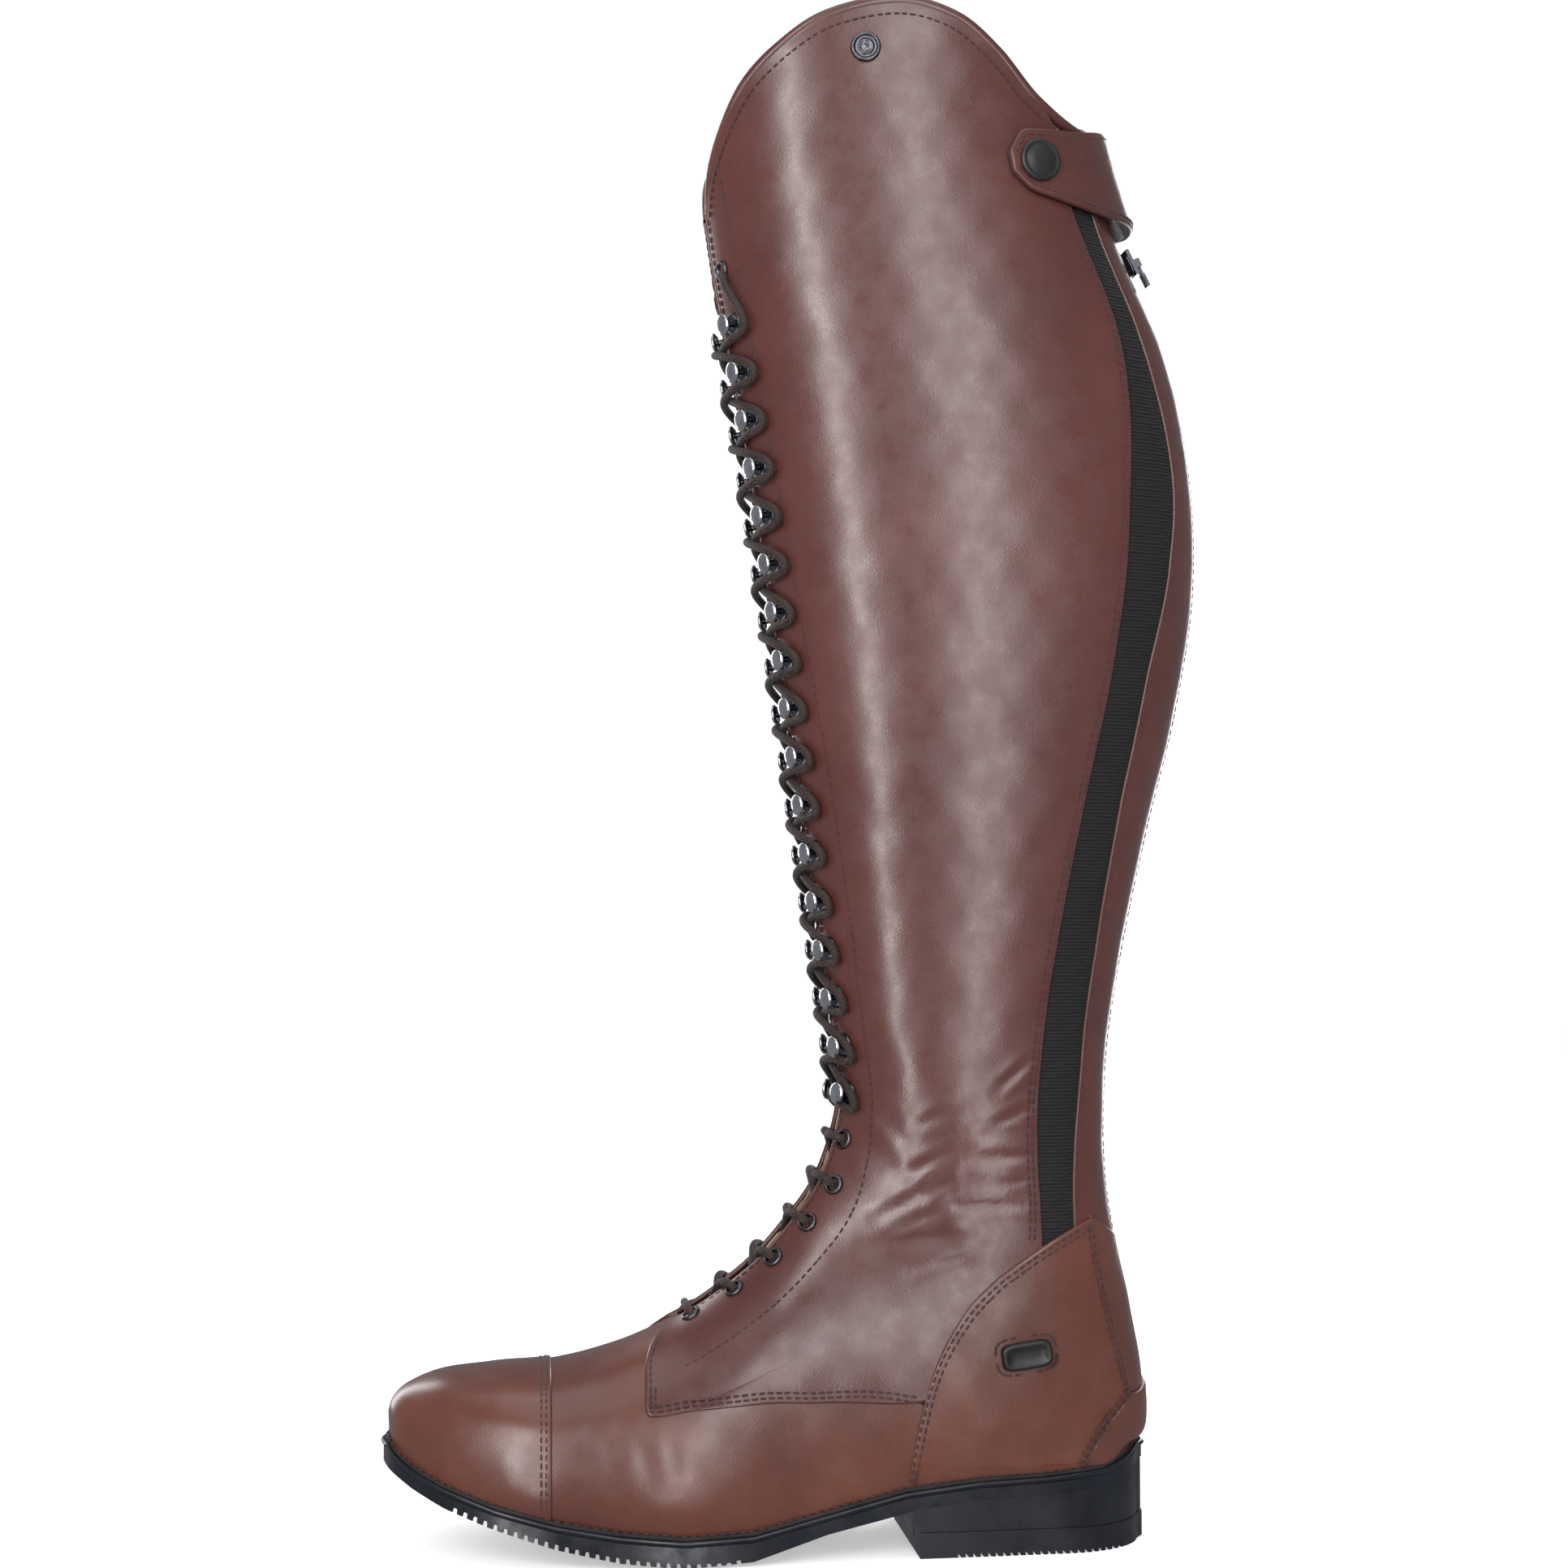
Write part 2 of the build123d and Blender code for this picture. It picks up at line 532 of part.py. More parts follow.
def station_at_height(z, angle):
    low, high = 11.0, 28.0
    for _ in range(40):
        mid = (low + high) / 2
        if skin(mid, angle)[2] < z:
            low = mid
        else:
            high = mid
    return (low + high) / 2


def make_hook(t, phi):
    plane = surface_frame(t, phi)
    base = disc(plane, HOOK_BASE_R, 0.2, HOOK_BASE_H)
    stem = disc(plane, HOOK_STEM_R, 0.5, HOOK_HEAD_LOW + 0.4)
    head = disc(plane, HOOK_HEAD_R, HOOK_HEAD_LOW, HOOK_HEAD_HIGH)
    return base + stem + head


def make_eyelet(t, phi):
    plane = surface_frame(t, phi)
    flange = disc(plane, EYELET_OUTER_R, 0.2, 0.85)
    tube = disc(plane, EYELET_BORE_R + 0.3, LINING_BOTTOM + 0.8, 0.5)
    return flange + tube - disc(plane, EYELET_BORE_R, -8, 3)


def make_fittings():
    for side in (-1, 1):
        save(side_name("speed_hooks", side), *[make_hook(t, side * a) for t, a in hook_spots()])
        save(side_name("eyelets", side), *[make_eyelet(t, side * a) for t, a in eyelet_spots()])
        plane = surface_frame(12.92, side * 98)
        pad = Plane(plane.origin + plane.z_dir * (OVERLAY_RISE + 0.1), x_dir=Vector(1, 0, 0.12),
                    z_dir=plane.z_dir)
        outline = SlotOverall(18.0, 9.0)
        save(side_name("spur_rest", side), pad.location * extrude(outline, amount=2.4))
    badge = surface_frame(28.44, -74)
    face = disc(badge, 5.3, 0.05, 1.5) - disc(badge, 4.4, 1.1, 2.0)
    save("badge", face)


# ---------------------------------------------------------------- zip
def make_zip():
    for side in (-1, 1):
        edge_in = [(ZIP_LOW, 178.6), (20, 178.6), (24, 178.6), (ZIP_HIGH, 178.6)]
        edge_out = [(ZIP_LOW, 162), (20, 162), (24, 164), (ZIP_HIGH, 164)]
        tape = panel(edge_line(edge_out, side), edge_line(edge_in, side),
                     straight((ZIP_LOW, side * 162), (ZIP_LOW, side * 178.6)),
                     straight((ZIP_HIGH, side * 164), (ZIP_HIGH, side * 178.6)),
                     STIFF_TOP, STIFF_BOTTOM, 6, 34)
        save(side_name("zip_tape", side), tape)
        coil_in = [(t, 179.75) for t, a in edge_in]
        coil_out = [(t, 176.6) for t, a in edge_in]
        coil = panel(edge_line(coil_out, side), edge_line(coil_in, side),
                     straight((ZIP_LOW, side * 176.6), (ZIP_LOW, side * 179.75)),
                     straight((ZIP_HIGH, side * 176.6), (ZIP_HIGH, side * 179.75)),
                     -0.2, STIFF_TOP + 0.1, 4, 34)
        save(side_name("zip_coil", side), coil)
        stop = surface_frame(ZIP_HIGH + 0.08, side * 177.4, -1.0)
        save(side_name("zip_top_stop", side), stop.location * Box(2.2, 3.0, 1.8))
    low_stop = surface_frame(ZIP_LOW - 0.1, 180, -0.6)
    save("zip_bottom_stop", low_stop.location * Box(5.0, 3.2, 1.6))


def arc_plane(z, height):
    """Plane on the calf's back arc at a height z: X across, Y up along the arc, Z outward."""
    angle = math.asin((z - BACK_CENTRE_Z) / BACK_RADIUS)
    out = Vector(math.cos(angle), 0, math.sin(angle))
    origin = Vector(BACK_CENTRE_X, 0, BACK_CENTRE_Z) + out * (BACK_RADIUS + height)
    return Plane(origin=origin, x_dir=Vector(0, 1, 0), z_dir=out)


def make_slider():
    seat = arc_plane(SLIDER_Z, SLIDER_GAP)
    body = seat.location * Box(7.6, 10.0, 1.3, align=(Align.CENTER, Align.CENTER, Align.MIN))
    lug = arc_plane(SLIDER_Z - 1.0, SLIDER_GAP + 1.2)
    on_plate = (Align.CENTER, Align.CENTER, Align.MIN)
    for x in (-2.3, 2.3):
        body = body + lug.location * Pos(x, 0, 0) * Box(1.0, 3.4, PIN_HEIGHT + 0.9, align=on_plate)
    pin = lug.location * Pos(0, 0, PIN_HEIGHT) * Rot(0, 90, 0) * Cylinder(0.55, 5.4)
    save("zip_slider", body + pin)
    eye = Rot(0, 90, 0) * (Cylinder(1.25, 2.8) - Cylinder(0.7, 3.0))
    blade = Pos(0, -1.0 - (PULL_LENGTH - 1.0) / 2, 0) * Box(2.8, PULL_LENGTH - 1.0, 0.9)
    tab = Pos(0, -PULL_LENGTH + 2.6, 0) * Box(4.6, 5.2, 1.1)
    save("zip_pull", lug.location * Pos(0, 0, PIN_HEIGHT) * (eye + blade + tab))
    print("pull pivot", lug.origin + lug.z_dir * PIN_HEIGHT)


# ---------------------------------------------------------------- strap and snap
STRAP_TOP = [(27.45, 111), (27.66, 116), (27.7, 122), (27.75, 140), (27.88, 165), (27.92, 190), (27.9, 212)]
STRAP_LOW = [(27.25, 111), (27.1, 116), (27.05, 124), (27.0, 140), (27.0, 165), (27.0, 190), (27.2, 212)]


def flare(t, phi):
    """Extra stand-off of the strap where it passes over the zip."""
    lateral_turn = (phi + 180) % 360 - 180
    from_back = 180 - abs(lateral_turn)
    across = math.exp(-(from_back / 26.0) ** 2)
    down = min(max((27.95 - t) / 1.0, 0.0), 1.0)
    return STRAP_FLARE * across * (0.35 + 0.65 * down)


def make_strap():
    top = edge_line(STRAP_TOP, -1)
    low = edge_line(STRAP_LOW, -1)
    strap = panel(straight((27.25, -111), (27.45, -111)), straight((27.2, -212), (27.9, -212)),
                  low, top,
                  lambda t, a: STRAP_REST + STRAP_THICK + flare(t, a),
                  lambda t, a: STRAP_REST + flare(t, a), 30, 9)
    plane = surface_frame(27.38, -120.5)
    strap = strap - disc(plane, SOCKET_RADIUS + 0.4, -2, 12)
    save("strap", strap)
    under = STRAP_REST + 0.2
    cap = disc(plane, CAP_RADIUS, STRAP_REST + STRAP_THICK + 0.9, STRAP_REST + STRAP_THICK + 2.6)
    socket = disc(plane, SOCKET_RADIUS + 0.3, under, STRAP_REST + STRAP_THICK + 1.0)
    bore = disc(plane, SOCKET_RADIUS - 0.2, under - 1, under + 1.4)
    save("snap_cap", cap + socket - bore)
    stud = disc(plane, STUD_RADIUS + 1.6, 0.05, 0.5) + disc(plane, STUD_RADIUS, 0.4, under + 0.8)
    save("snap_stud", stud)


# ---------------------------------------------------------------- lace
def facing_angle(t):
    """Angle of the facing's edge at a station."""
    rows = np.array(FACING_EDGE)
    return float(np.interp(t, rows[:, 0], rows[:, 1]))


def lace_strand(first_side):
    """Points of one strand from the bottom bar up to its top eyelet."""
    points = []
    side = first_side
    spots = hook_spots()
    deep = first_side < 0
    for i, (t, angle) in enumerate(EYELETS):
        points.append(lifted(t, side * angle, 3.3))
        points.append(lifted(t + 0.01, side * (angle - 0.1), LACE_UNDER))
        step = (EYELETS[i + 1][0] if i + 1 < len(EYELETS) else spots[0][0]) - t
        points.append(lifted(t + 0.25 * step, side * (facing_angle(t + 0.25 * step) - 1.5), LACE_UNDER))
        points.append(lifted(t + 0.5 * step, 0, LACE_UNDER if deep else LACE_UNDER + 3.2))
        side = -side
        points.append(lifted(t + 0.78 * step, side * (facing_angle(t + 0.78 * step) - 4.0), 1.9))
    t, angle = spots[0]
    points.append(lifted(t - 0.3 * (spots[1][0] - t), side * (angle - 2), LACE_OVER))
    for i, (t, angle) in enumerate(spots):
        out = angle + 9.0 + 0.1 * i
        gap = (spots[1][0] - spots[0][0]) if i == 0 else (t - spots[i - 1][0])
        points.append(lifted(t - 0.16 * gap, side * out, LACE_OVER))
        points.append(lifted(t + 0.16 * gap, side * out, LACE_OVER))
        if i + 1 < len(spots):
            middle = (t + spots[i + 1][0]) / 2
            points.append(lifted(middle - 0.17 * gap, side * 0.5 * out, 3.1 if deep else 3.9))
            points.append(lifted(middle, 0, 2.0 if deep else 5.4))
            side = -side
            points.append(lifted(middle + 0.17 * gap, side * 0.5 * out, 3.1 if deep else 3.9))
    t, angle = TOP_EYELET
    points.append(lifted(t, side * angle, 3.0))
    points.append(lifted(t, side * angle, LACE_UNDER))
    return points


def make_lace():
    one = lace_strand(-1)
    two = lace_strand(1)
    route = one[::-1] + two
    radii = []
    for before, at, after in zip(route, route[1:], route[2:]):
        a = (before - at) / np.linalg.norm(before - at)
        b = (after - at) / np.linalg.norm(after - at)
        turn = math.pi - math.acos(float(np.clip(a @ b, -1, 1)))
        shorter = min(np.linalg.norm(before - at), np.linalg.norm(after - at))
        radii.append(0.45 * shorter / max(math.tan(turn / 2), 0.05))
    path = FilletPolyline(*[tuple(p) for p in route], radius=radii)
    print("lace length", round(path.length, 1), "least radius", round(min(radii), 2))
    start = Plane(origin=path @ 0, z_dir=path % 0)
    lace = sweep(start * Circle(LACE_D / 2), path=path)
    print("lace volume", round(lace.volume), "expected", round(path.length * math.pi * LACE_D ** 2 / 4))
    save("lace", lace)


def main():
    os.makedirs("parts", exist_ok=True)
    make_toe_cap()
    make_vamp()
    make_shaft_side(-1)
    make_shaft_side(1)
    make_back()
    make_tongue()
    make_sole()
    make_fittings()
    make_zip()
    make_slider()
    make_strap()
    make_lace()
    for name, shape in PARTS.items():
        box = shape.bounding_box()
        size = [round(v, 1) for v in (*box.min, *box.max)]
        print(name, round(shape.volume), len(shape.solids()), size, "" if shape.is_valid else "INVALID")
        export_step(shape, os.path.join("parts", name + ".step"))


main()
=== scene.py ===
import math

import bpy
import numpy as np
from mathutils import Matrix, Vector


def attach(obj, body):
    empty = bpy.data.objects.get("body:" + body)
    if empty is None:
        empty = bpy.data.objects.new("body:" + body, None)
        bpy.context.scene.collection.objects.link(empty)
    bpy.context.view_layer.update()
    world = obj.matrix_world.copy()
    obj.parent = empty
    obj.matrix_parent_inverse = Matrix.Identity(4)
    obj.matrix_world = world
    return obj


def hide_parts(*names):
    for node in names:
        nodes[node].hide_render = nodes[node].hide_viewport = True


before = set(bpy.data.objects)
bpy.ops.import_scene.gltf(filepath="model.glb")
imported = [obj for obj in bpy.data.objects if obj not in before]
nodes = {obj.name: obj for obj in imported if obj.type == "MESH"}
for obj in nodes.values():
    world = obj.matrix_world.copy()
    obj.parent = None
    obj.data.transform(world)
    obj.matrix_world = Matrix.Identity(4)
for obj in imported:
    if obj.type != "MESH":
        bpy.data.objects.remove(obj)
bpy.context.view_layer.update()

MM = 0.001
Y_AXIS, Z_AXIS = np.array([0.0, 1.0, 0.0]), np.array([0.0, 0.0, 1.0])
rng = np.random.default_rng(7)

# ---------------------------------------------------------------- form surface (mm)
# front x, front z, lower x, lower z, half width, centre y, end angle, skew, fullness
TABLE = np.array([
    (-145.4, 47.0, -145.0, 39.5, 0.5, 8.0, 105, 0.0, 0.04),
    (-143.8, 52.0, -142.8, 36.5, 13.0, 7.6, 105, 0.0, 0.04),
    (-138.5, 57.0, -136.5, 32.5, 23.0, 7.0, 105, 0.0, 0.04),
    (-127.0, 61.6, -125.0, 27.5, 33.0, 5.5, 106, 0.0, 0.04),
    (-108.0, 64.0, -107.0, 21.5, 40.5, 4.0, 107, 0.0, 0.04),
    (-86.0, 65.8, -86.0, 16.5, 44.8, 2.5, 107, 0.0, 0.03),
    (-64.0, 71.6, -64.0, 13.0, 46.4, 1.5, 107, 0.0, 0.02),
    (-44.0, 80.6, -42.0, 11.0, 46.2, 0.8, 107, 0.0, 0.0),
    (-28.0, 91.5, -18.0, 12.0, 43.5, 0.3, 107, 0.0, 0.0),
    (-13.5, 105.0, 8.0, 18.0, 39.0, 0.0, 107, 0.0, 0.0),
    (-1.5, 121.0, 36.0, 24.5, 35.5, 0.0, 108, 0.0, 0.0),
    (7.0, 135.5, 62.0, 27.5, 34.0, 0.0, 110, 0.0, 0.0),
    (12.5, 149.0, 87.0, 28.5, 33.4, 0.0, 118, 0.0, 0.01),
    (15.2, 160.0, 109.0, 30.5, 33.0, 0.0, 135, 0.02, 0.03),
    (15.6, 169.0, 125.0, 36.0, 33.0, 0.0, 180, 0.04, 0.04),
    (14.6, 179.0, 126.2, 58.0, 33.0, 0.0, 180, 0.05, 0.05),
    (13.2, 189.0, 122.0, 84.0, 33.0, 0.0, 180, 0.05, 0.05),
    (11.6, 200.0, 116.8, 108.0, 33.0, 0.0, 180, 0.05, 0.05),
    (9.4, 214.0, 113.6, 130.0, 33.0, 0.0, 180, 0.05, 0.05),
    (7.0, 231.0, 112.9, 153.0, 33.5, 0.0, 180, 0.05, 0.05),
    (3.4, 255.0, 114.9, 182.0, 35.0, 0.0, 180, 0.05, 0.05),
    (-1.0, 285.0, 120.9, 217.0, 37.5, 0.0, 180, 0.05, 0.05),
    (-6.2, 320.0, 129.8, 257.0, 40.5, 0.0, 180, 0.05, 0.05),
    (-11.6, 355.0, 140.6, 300.0, 43.0, 0.0, 180, 0.05, 0.05),
    (-17.2, 390.0, 147.5, 345.0, 44.5, 0.0, 180, 0.05, 0.05),
    (-23.4, 425.0, 145.9, 390.0, 45.0, 0.0, 180, 0.05, 0.05),
    (-29.6, 458.0, 136.6, 432.0, 45.0, 0.0, 180, 0.05, 0.05),
    (-34.0, 490.0, 118.4, 476.0, 44.5, 0.0, 180, 0.05, 0.05),
    (-36.0, 520.0, 109.5, 516.0, 44.0, 0.0, 180, 0.05, 0.05),
    (-36.5, 550.0, 101.0, 556.0, 43.5, 0.0, 180, 0.05, 0.05),
    (-36.5, 580.0, 92.0, 596.0, 43.0, 0.0, 180, 0.05, 0.05),
], dtype=float)

FACING_EDGE = [(6.95, 8), (8.3, 12), (9.5, 16), (10.7, 18), (12.0, 14), (13.5, 9.5),
               (16, 8.5), (20, 7.5), (24, 6.5), (26.65, 5.5)]
FACING_STITCH = [(7.1, 43), (8.3, 42), (9.8, 42), (11.3, 40), (12.9, 35), (15.2, 33),
                 (18.8, 35), (20.9, 32), (22.3, 27), (24.1, 23), (26.0, 22), (27.3, 20)]
QUARTER_LOW = [(6.95, 8), (6.62, 18), (6.45, 32), (6.42, 46), (6.42, 57.5), (6.6, 60.5),
               (7.24, 62.5), (8.32, 69), (9.28, 78), (10.64, 90)]
COUNTER_ARC = [(35.6, 25.8), (38.6, 41), (42, 55), (45.3, 64.5), (49.2, 72.6), (53.6, 79.6), (58.4, 86.1),
               (63.8, 91.9), (69.6, 97.0), (76, 101.7), (82.8, 106.3), (90, 110.6), (97.2, 114.4),
              (103.8, 117.4)]
COUNTER_SEAM = [(118.6, 55.0), (115.6, 66.5), (112.3, 78), (109.2, 90.5), (106.4, 103.5), (103.8, 117.4)]
FOXING_LINE = [(100.2, 29.3), (102.4, 33.6), (105.4, 38.6), (109.2, 43.6), (113.8, 49.0), (118.6, 54.6)]
GORE_FRONT = [(15.25, 98), (16.1, 102), (17.2, 106), (18.5, 111), (20.2, 117), (22.0, 121),
              (24.2, 124), (25.3, 129), (26.1, 132), (27.75, 132)]
GORE_BACK = [(16.4, 120), (17.2, 125), (18.0, 130), (19.0, 135), (20.4, 138), (22.2, 137),
             (23.1, 137), (24.0, 142), (24.8, 146), (26.0, 143), (27.0, 144), (27.85, 146)]
TOP_LATERAL = [(26.7, 5.5), (27.1, 12), (27.56, 22), (28.08, 34), (28.48, 48), (28.8, 64),
               (28.92, 85), (28.76, 102), (28.44, 114), (28.0, 127), (27.8, 146), (27.9, 177)]
TOP_MEDIAL = [(26.7, 5.5), (27.1, 12), (27.4, 22), (27.6, 40), (27.75, 64), (27.8, 90),
              (27.8, 120), (27.85, 146), (27.9, 177)]
MEDIAL_BACK = [(16.9, 133), (17.6, 146), (18.6, 154), (20, 158), (22, 160), (24, 160),
               (26, 160), (27.87, 160)]
EYELETS = [(7.36, 14.5), (8.32, 20), (9.24, 24), (10.16, 27), (11.16, 27.5), (12.12, 22)]
TOP_EYELET = (26.04, 13.5)
SNAP_AT = (27.38, -120.5)
HOOK_COUNT = 17
LOWEST_HOOK_Z, HOOK_RISE = 161.0, 278.0


def hermite(rows, s):
    """Smooth values at s (array, in rows) through the rows."""
    s = np.asarray(s, dtype=float)
    slopes = np.gradient(rows, axis=0)
    i = np.clip(np.floor(s).astype(int), 0, len(rows) - 2)
    f = (s - i)[..., None]
    return (rows[i] * (1 + 2 * f) * (1 - f) ** 2 + slopes[i] * f * (1 - f) ** 2
            + rows[i + 1] * f * f * (3 - 2 * f) + slopes[i + 1] * f * f * (f - 1))


def share_at(angle, skew):
    """How far round from the front line to the low line an angle lies."""
    return (1 - np.cos(angle)) / 2 + skew * np.sin(angle) ** 2


def skin(t, phi):
    """Points of the form surface; phi in degrees, 0 front, below 0 lateral, over 0 medial."""
    t, phi = np.broadcast_arrays(np.asarray(t, dtype=float), np.asarray(phi, dtype=float))
    phi = (phi + 180.0) % 360.0 - 180.0
    row = hermite(TABLE, t)
    end = np.minimum(row[..., 6], 180.0)
    angle = np.radians(np.abs(phi))
    share = share_at(angle, row[..., 7]) / share_at(np.radians(end), row[..., 7])
    reach = row[..., 4] * (np.sin(angle) + row[..., 8] * np.sin(3 * angle)) / (1 - row[..., 8])
    y = row[..., 5] + np.copysign(reach, phi)
    x = row[..., 0] + (row[..., 2] - row[..., 0]) * share
    z = row[..., 1] + (row[..., 3] - row[..., 1]) * share
    return np.stack([x, y, z], axis=-1)


def unit(v):
    return v / np.maximum(np.linalg.norm(v, axis=-1, keepdims=True), 1e-9)


def normal(t, phi):
    """Outward directions of the form surface."""
    t = np.asarray(t, dtype=float)
    phi = np.asarray(phi, dtype=float)
    up = skin(t + 0.01, phi) - skin(t - 0.01, phi)
    across = skin(t, phi + 0.3) - skin(t, phi - 0.3)
    return unit(np.cross(up, across))


def lifted(t, phi, height):
    """Points a height in mm above the form surface."""
    height = np.asarray(height, dtype=float)
    return skin(t, phi) + normal(t, phi) * height[..., None]


def end_angle(t):
    return np.minimum(hermite(TABLE, t)[..., 6], 180.0)


# ---------------------------------------------------------------- edges and grids
def distance_run(points):
    """Distance along a line of points, from its first point."""
    return np.concatenate([[0], np.cumsum(np.linalg.norm(np.diff(points, axis=0), axis=1))])


def edge_through(marks):
    """Function of shares 0 to 1 along rows of (station, angle), giving such rows."""
    run = distance_run(skin(marks[:, 0], marks[:, 1]))
    length = run[-1]
    run = run / length

    def at(s):
        s = np.asarray(s, dtype=float)
        return np.stack([np.interp(s, run, marks[:, 0]), np.interp(s, run, marks[:, 1])], axis=-1)
    at.length = length
    return at


def edge_line(points, side=1):
    """Smooth edge through (station, angle) points, mirrored when side is -1."""
    rows = np.array([(t, side * a) for t, a in points], dtype=float)
    return edge_through(hermite(rows, np.linspace(0, len(rows) - 1, 240)))


def straight(a, b):
    """Edge straight from one (station, angle) point to another."""
    a, b = np.array(a, dtype=float), np.array(b, dtype=float)

    def at(s):
        return a + (b - a) * np.asarray(s, dtype=float)[..., None]
    at.length = float(np.linalg.norm(skin(*a) - skin(*b)))
    return at


def across(t, a):
    """Edge over the front from one side to the other at a station."""
    return straight((t, -a), (t, a))


def mirrored(points):
    """The lateral and the medial edge through the same points."""
    return edge_line(points, -1), edge_line(points, 1)


def joined(first, second, share):
    """Two edges end to end; the first takes up the given share."""
    def at(s):
        s = np.asarray(s, dtype=float)
        one = first(np.clip(s / share, 0, 1))
        two = second(np.clip((s - share) / (1 - share), 0, 1))
        return np.where((s < share)[..., None], one, two)
    at.length = first.length + second.length
    return at


def spot_at(x, z, side, t, a):
    """Station and angle of the surface point at x, z in side view, from a guess."""
    for _ in range(30):
        here = skin(t, side * a)
        dt = (skin(t + 0.01, side * a) - here) / 0.01
        da = (skin(t, side * (a + 0.1)) - here) / 0.1
        jac = np.array([[dt[0], da[0]], [dt[2], da[2]]])
        step = np.linalg.solve(jac, [x - here[0], z - here[2]])
        step = np.clip(step, [-0.4, -6], [0.4, 6])
        t, a = t + step[0], a + step[1]
    return t, a


def side_line(points, side, guess):
    """Edge through (x, z) points seen from the side, in mm."""
    rows = np.array(points, dtype=float)
    marks = []
    t, a = guess
    for x, z in hermite(rows, np.linspace(0, len(rows) - 1, 60)):
        t, a = spot_at(x, z, side, t, a)
        marks.append((t, side * a))
    return edge_through(np.array(marks))


def part_of(edge, start, stop):
    """The stretch of an edge between two shares of it."""
    def at(s):
        return edge(start + (stop - start) * np.asarray(s, dtype=float))
    at.length = edge.length * (stop - start)
    return at


def spaced(length, step, edge=(0.0, 0.15, 0.4, 0.8, 1.3)):
    """Shares along a side: even steps, with close rows at both ends for a rounded edge."""
    ends = np.array(edge) / length
    count = max(int(length / step), 4)
    middle = np.linspace(2.2 / length, 1 - 2.2 / length, count)
    return np.concatenate([ends, middle, 1 - ends[::-1]])


def coons(left, right, low, high, step=1.6):
    """Stations and angles of a grid between four edges."""
    across = spaced((low.length + high.length) / 2, step)
    upward = spaced((left.length + right.length) / 2, step)
    flat_u, flat_v = np.meshgrid(across, upward)
    u, v = flat_u[..., None], flat_v[..., None]
    grid = ((1 - u) * left(flat_v) + u * right(flat_v) + (1 - v) * low(flat_u) + v * high(flat_u)
            - (1 - u) * (1 - v) * left(0.0) - u * (1 - v) * right(0.0)
            - (1 - u) * v * left(1.0) - u * v * right(1.0))
    return grid[..., 0], grid[..., 1]


def grid_distances(points):
    """Distance of each grid point from the four edges, along the grid lines."""
    du = np.linalg.norm(np.diff(points, axis=1), axis=-1)
    dv = np.linalg.norm(np.diff(points, axis=0), axis=-1)
    from_left = np.concatenate([np.zeros((points.shape[0], 1)), np.cumsum(du, axis=1)], axis=1)
    from_low = np.concatenate([np.zeros((1, points.shape[1])), np.cumsum(dv, axis=0)], axis=0)
    return from_left, from_left[:, -1:] - from_left, from_low, from_low[-1:, :] - from_low


def rounded(distance, radius):
    """How far a rounded edge drops at a distance from it."""
    d = np.clip(distance, 0, radius)
    return radius - np.sqrt(np.maximum(radius ** 2 - (radius - d) ** 2, 0))


# ---------------------------------------------------------------- mesh helpers
def new_object(name, mesh, body="boot"):
    obj = bpy.data.objects.new(name, mesh)
    bpy.context.scene.collection.objects.link(obj)
    if body:
        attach(obj, body)
    return obj


def mesh_from(name, verts, faces, material, body="boot"):
    mesh = bpy.data.meshes.new(name)
    mesh.from_pydata([tuple(v) for v in np.asarray(verts) * MM], [], faces)
    mesh.update()
    mesh.polygons.foreach_set("use_smooth", [True] * len(mesh.polygons))
    mesh.materials.append(material)
    return new_object(name, mesh, body)


def grid_faces(rows, cols, start=0, flip=False):
    faces = []
    for r in range(rows - 1):
        for c in range(cols - 1):
            a = start + r * cols + c
            quad = (a, a + 1, a + cols + 1, a + cols)
            faces.append(quad[::-1] if flip else quad)
    return faces


def shell_mesh(name, outer, inner, material, body="boot"):
    """Closed shell between an outer and an inner grid of points."""
    rows, cols = outer.shape[:2]
    verts = np.concatenate([outer.reshape(-1, 3), inner.reshape(-1, 3)])
    n = rows * cols
    centre = outer[rows // 2, cols // 2] - inner[rows // 2, cols // 2]
    du = outer[rows // 2, min(cols // 2 + 1, cols - 1)] - outer[rows // 2, cols // 2]
    dv = outer[min(rows // 2 + 1, rows - 1), cols // 2] - outer[rows // 2, cols // 2]
    flip = np.dot(np.cross(du, dv), centre) < 0
    faces = grid_faces(rows, cols, 0, flip) + grid_faces(rows, cols, n, not flip)
    loop = ([c for c in range(cols)] + [r * cols + cols - 1 for r in range(1, rows)]
            + [(rows - 1) * cols + c for c in range(cols - 2, -1, -1)]
            + [r * cols for r in range(rows - 2, 0, -1)])
    for a, b in zip(loop, loop[1:] + loop[:1]):
        quad = (a, a + n, b + n, b)
        faces.append(quad[::-1] if flip else quad)
    return mesh_from(name, verts, faces, material, body)


def creases(points, side):
    """Height change of the ankle's folds at surface points."""
    total = np.zeros(points.shape[:-1])
    for (x0, z0), (x1, z1), depth, width in CREASES:
        a, b = np.array([x0, z0]), np.array([x1, z1])
        p = points[..., [0, 2]]
        s = np.clip(((p - a) @ (b - a)) / ((b - a) @ (b - a)), 0, 1)
        d = np.linalg.norm(p - (a + s[..., None] * (b - a)), axis=-1)
        ends = np.sin(np.pi * np.clip(s, 0.02, 0.98)) ** 0.6
        valley, ridge = np.exp(-(d / width) ** 2), np.exp(-((d - 1.9 * width) / width) ** 2)
        total -= depth * ends * (valley - 0.55 * ridge)
    return total * (1.0 if side < 0 else 0.8)


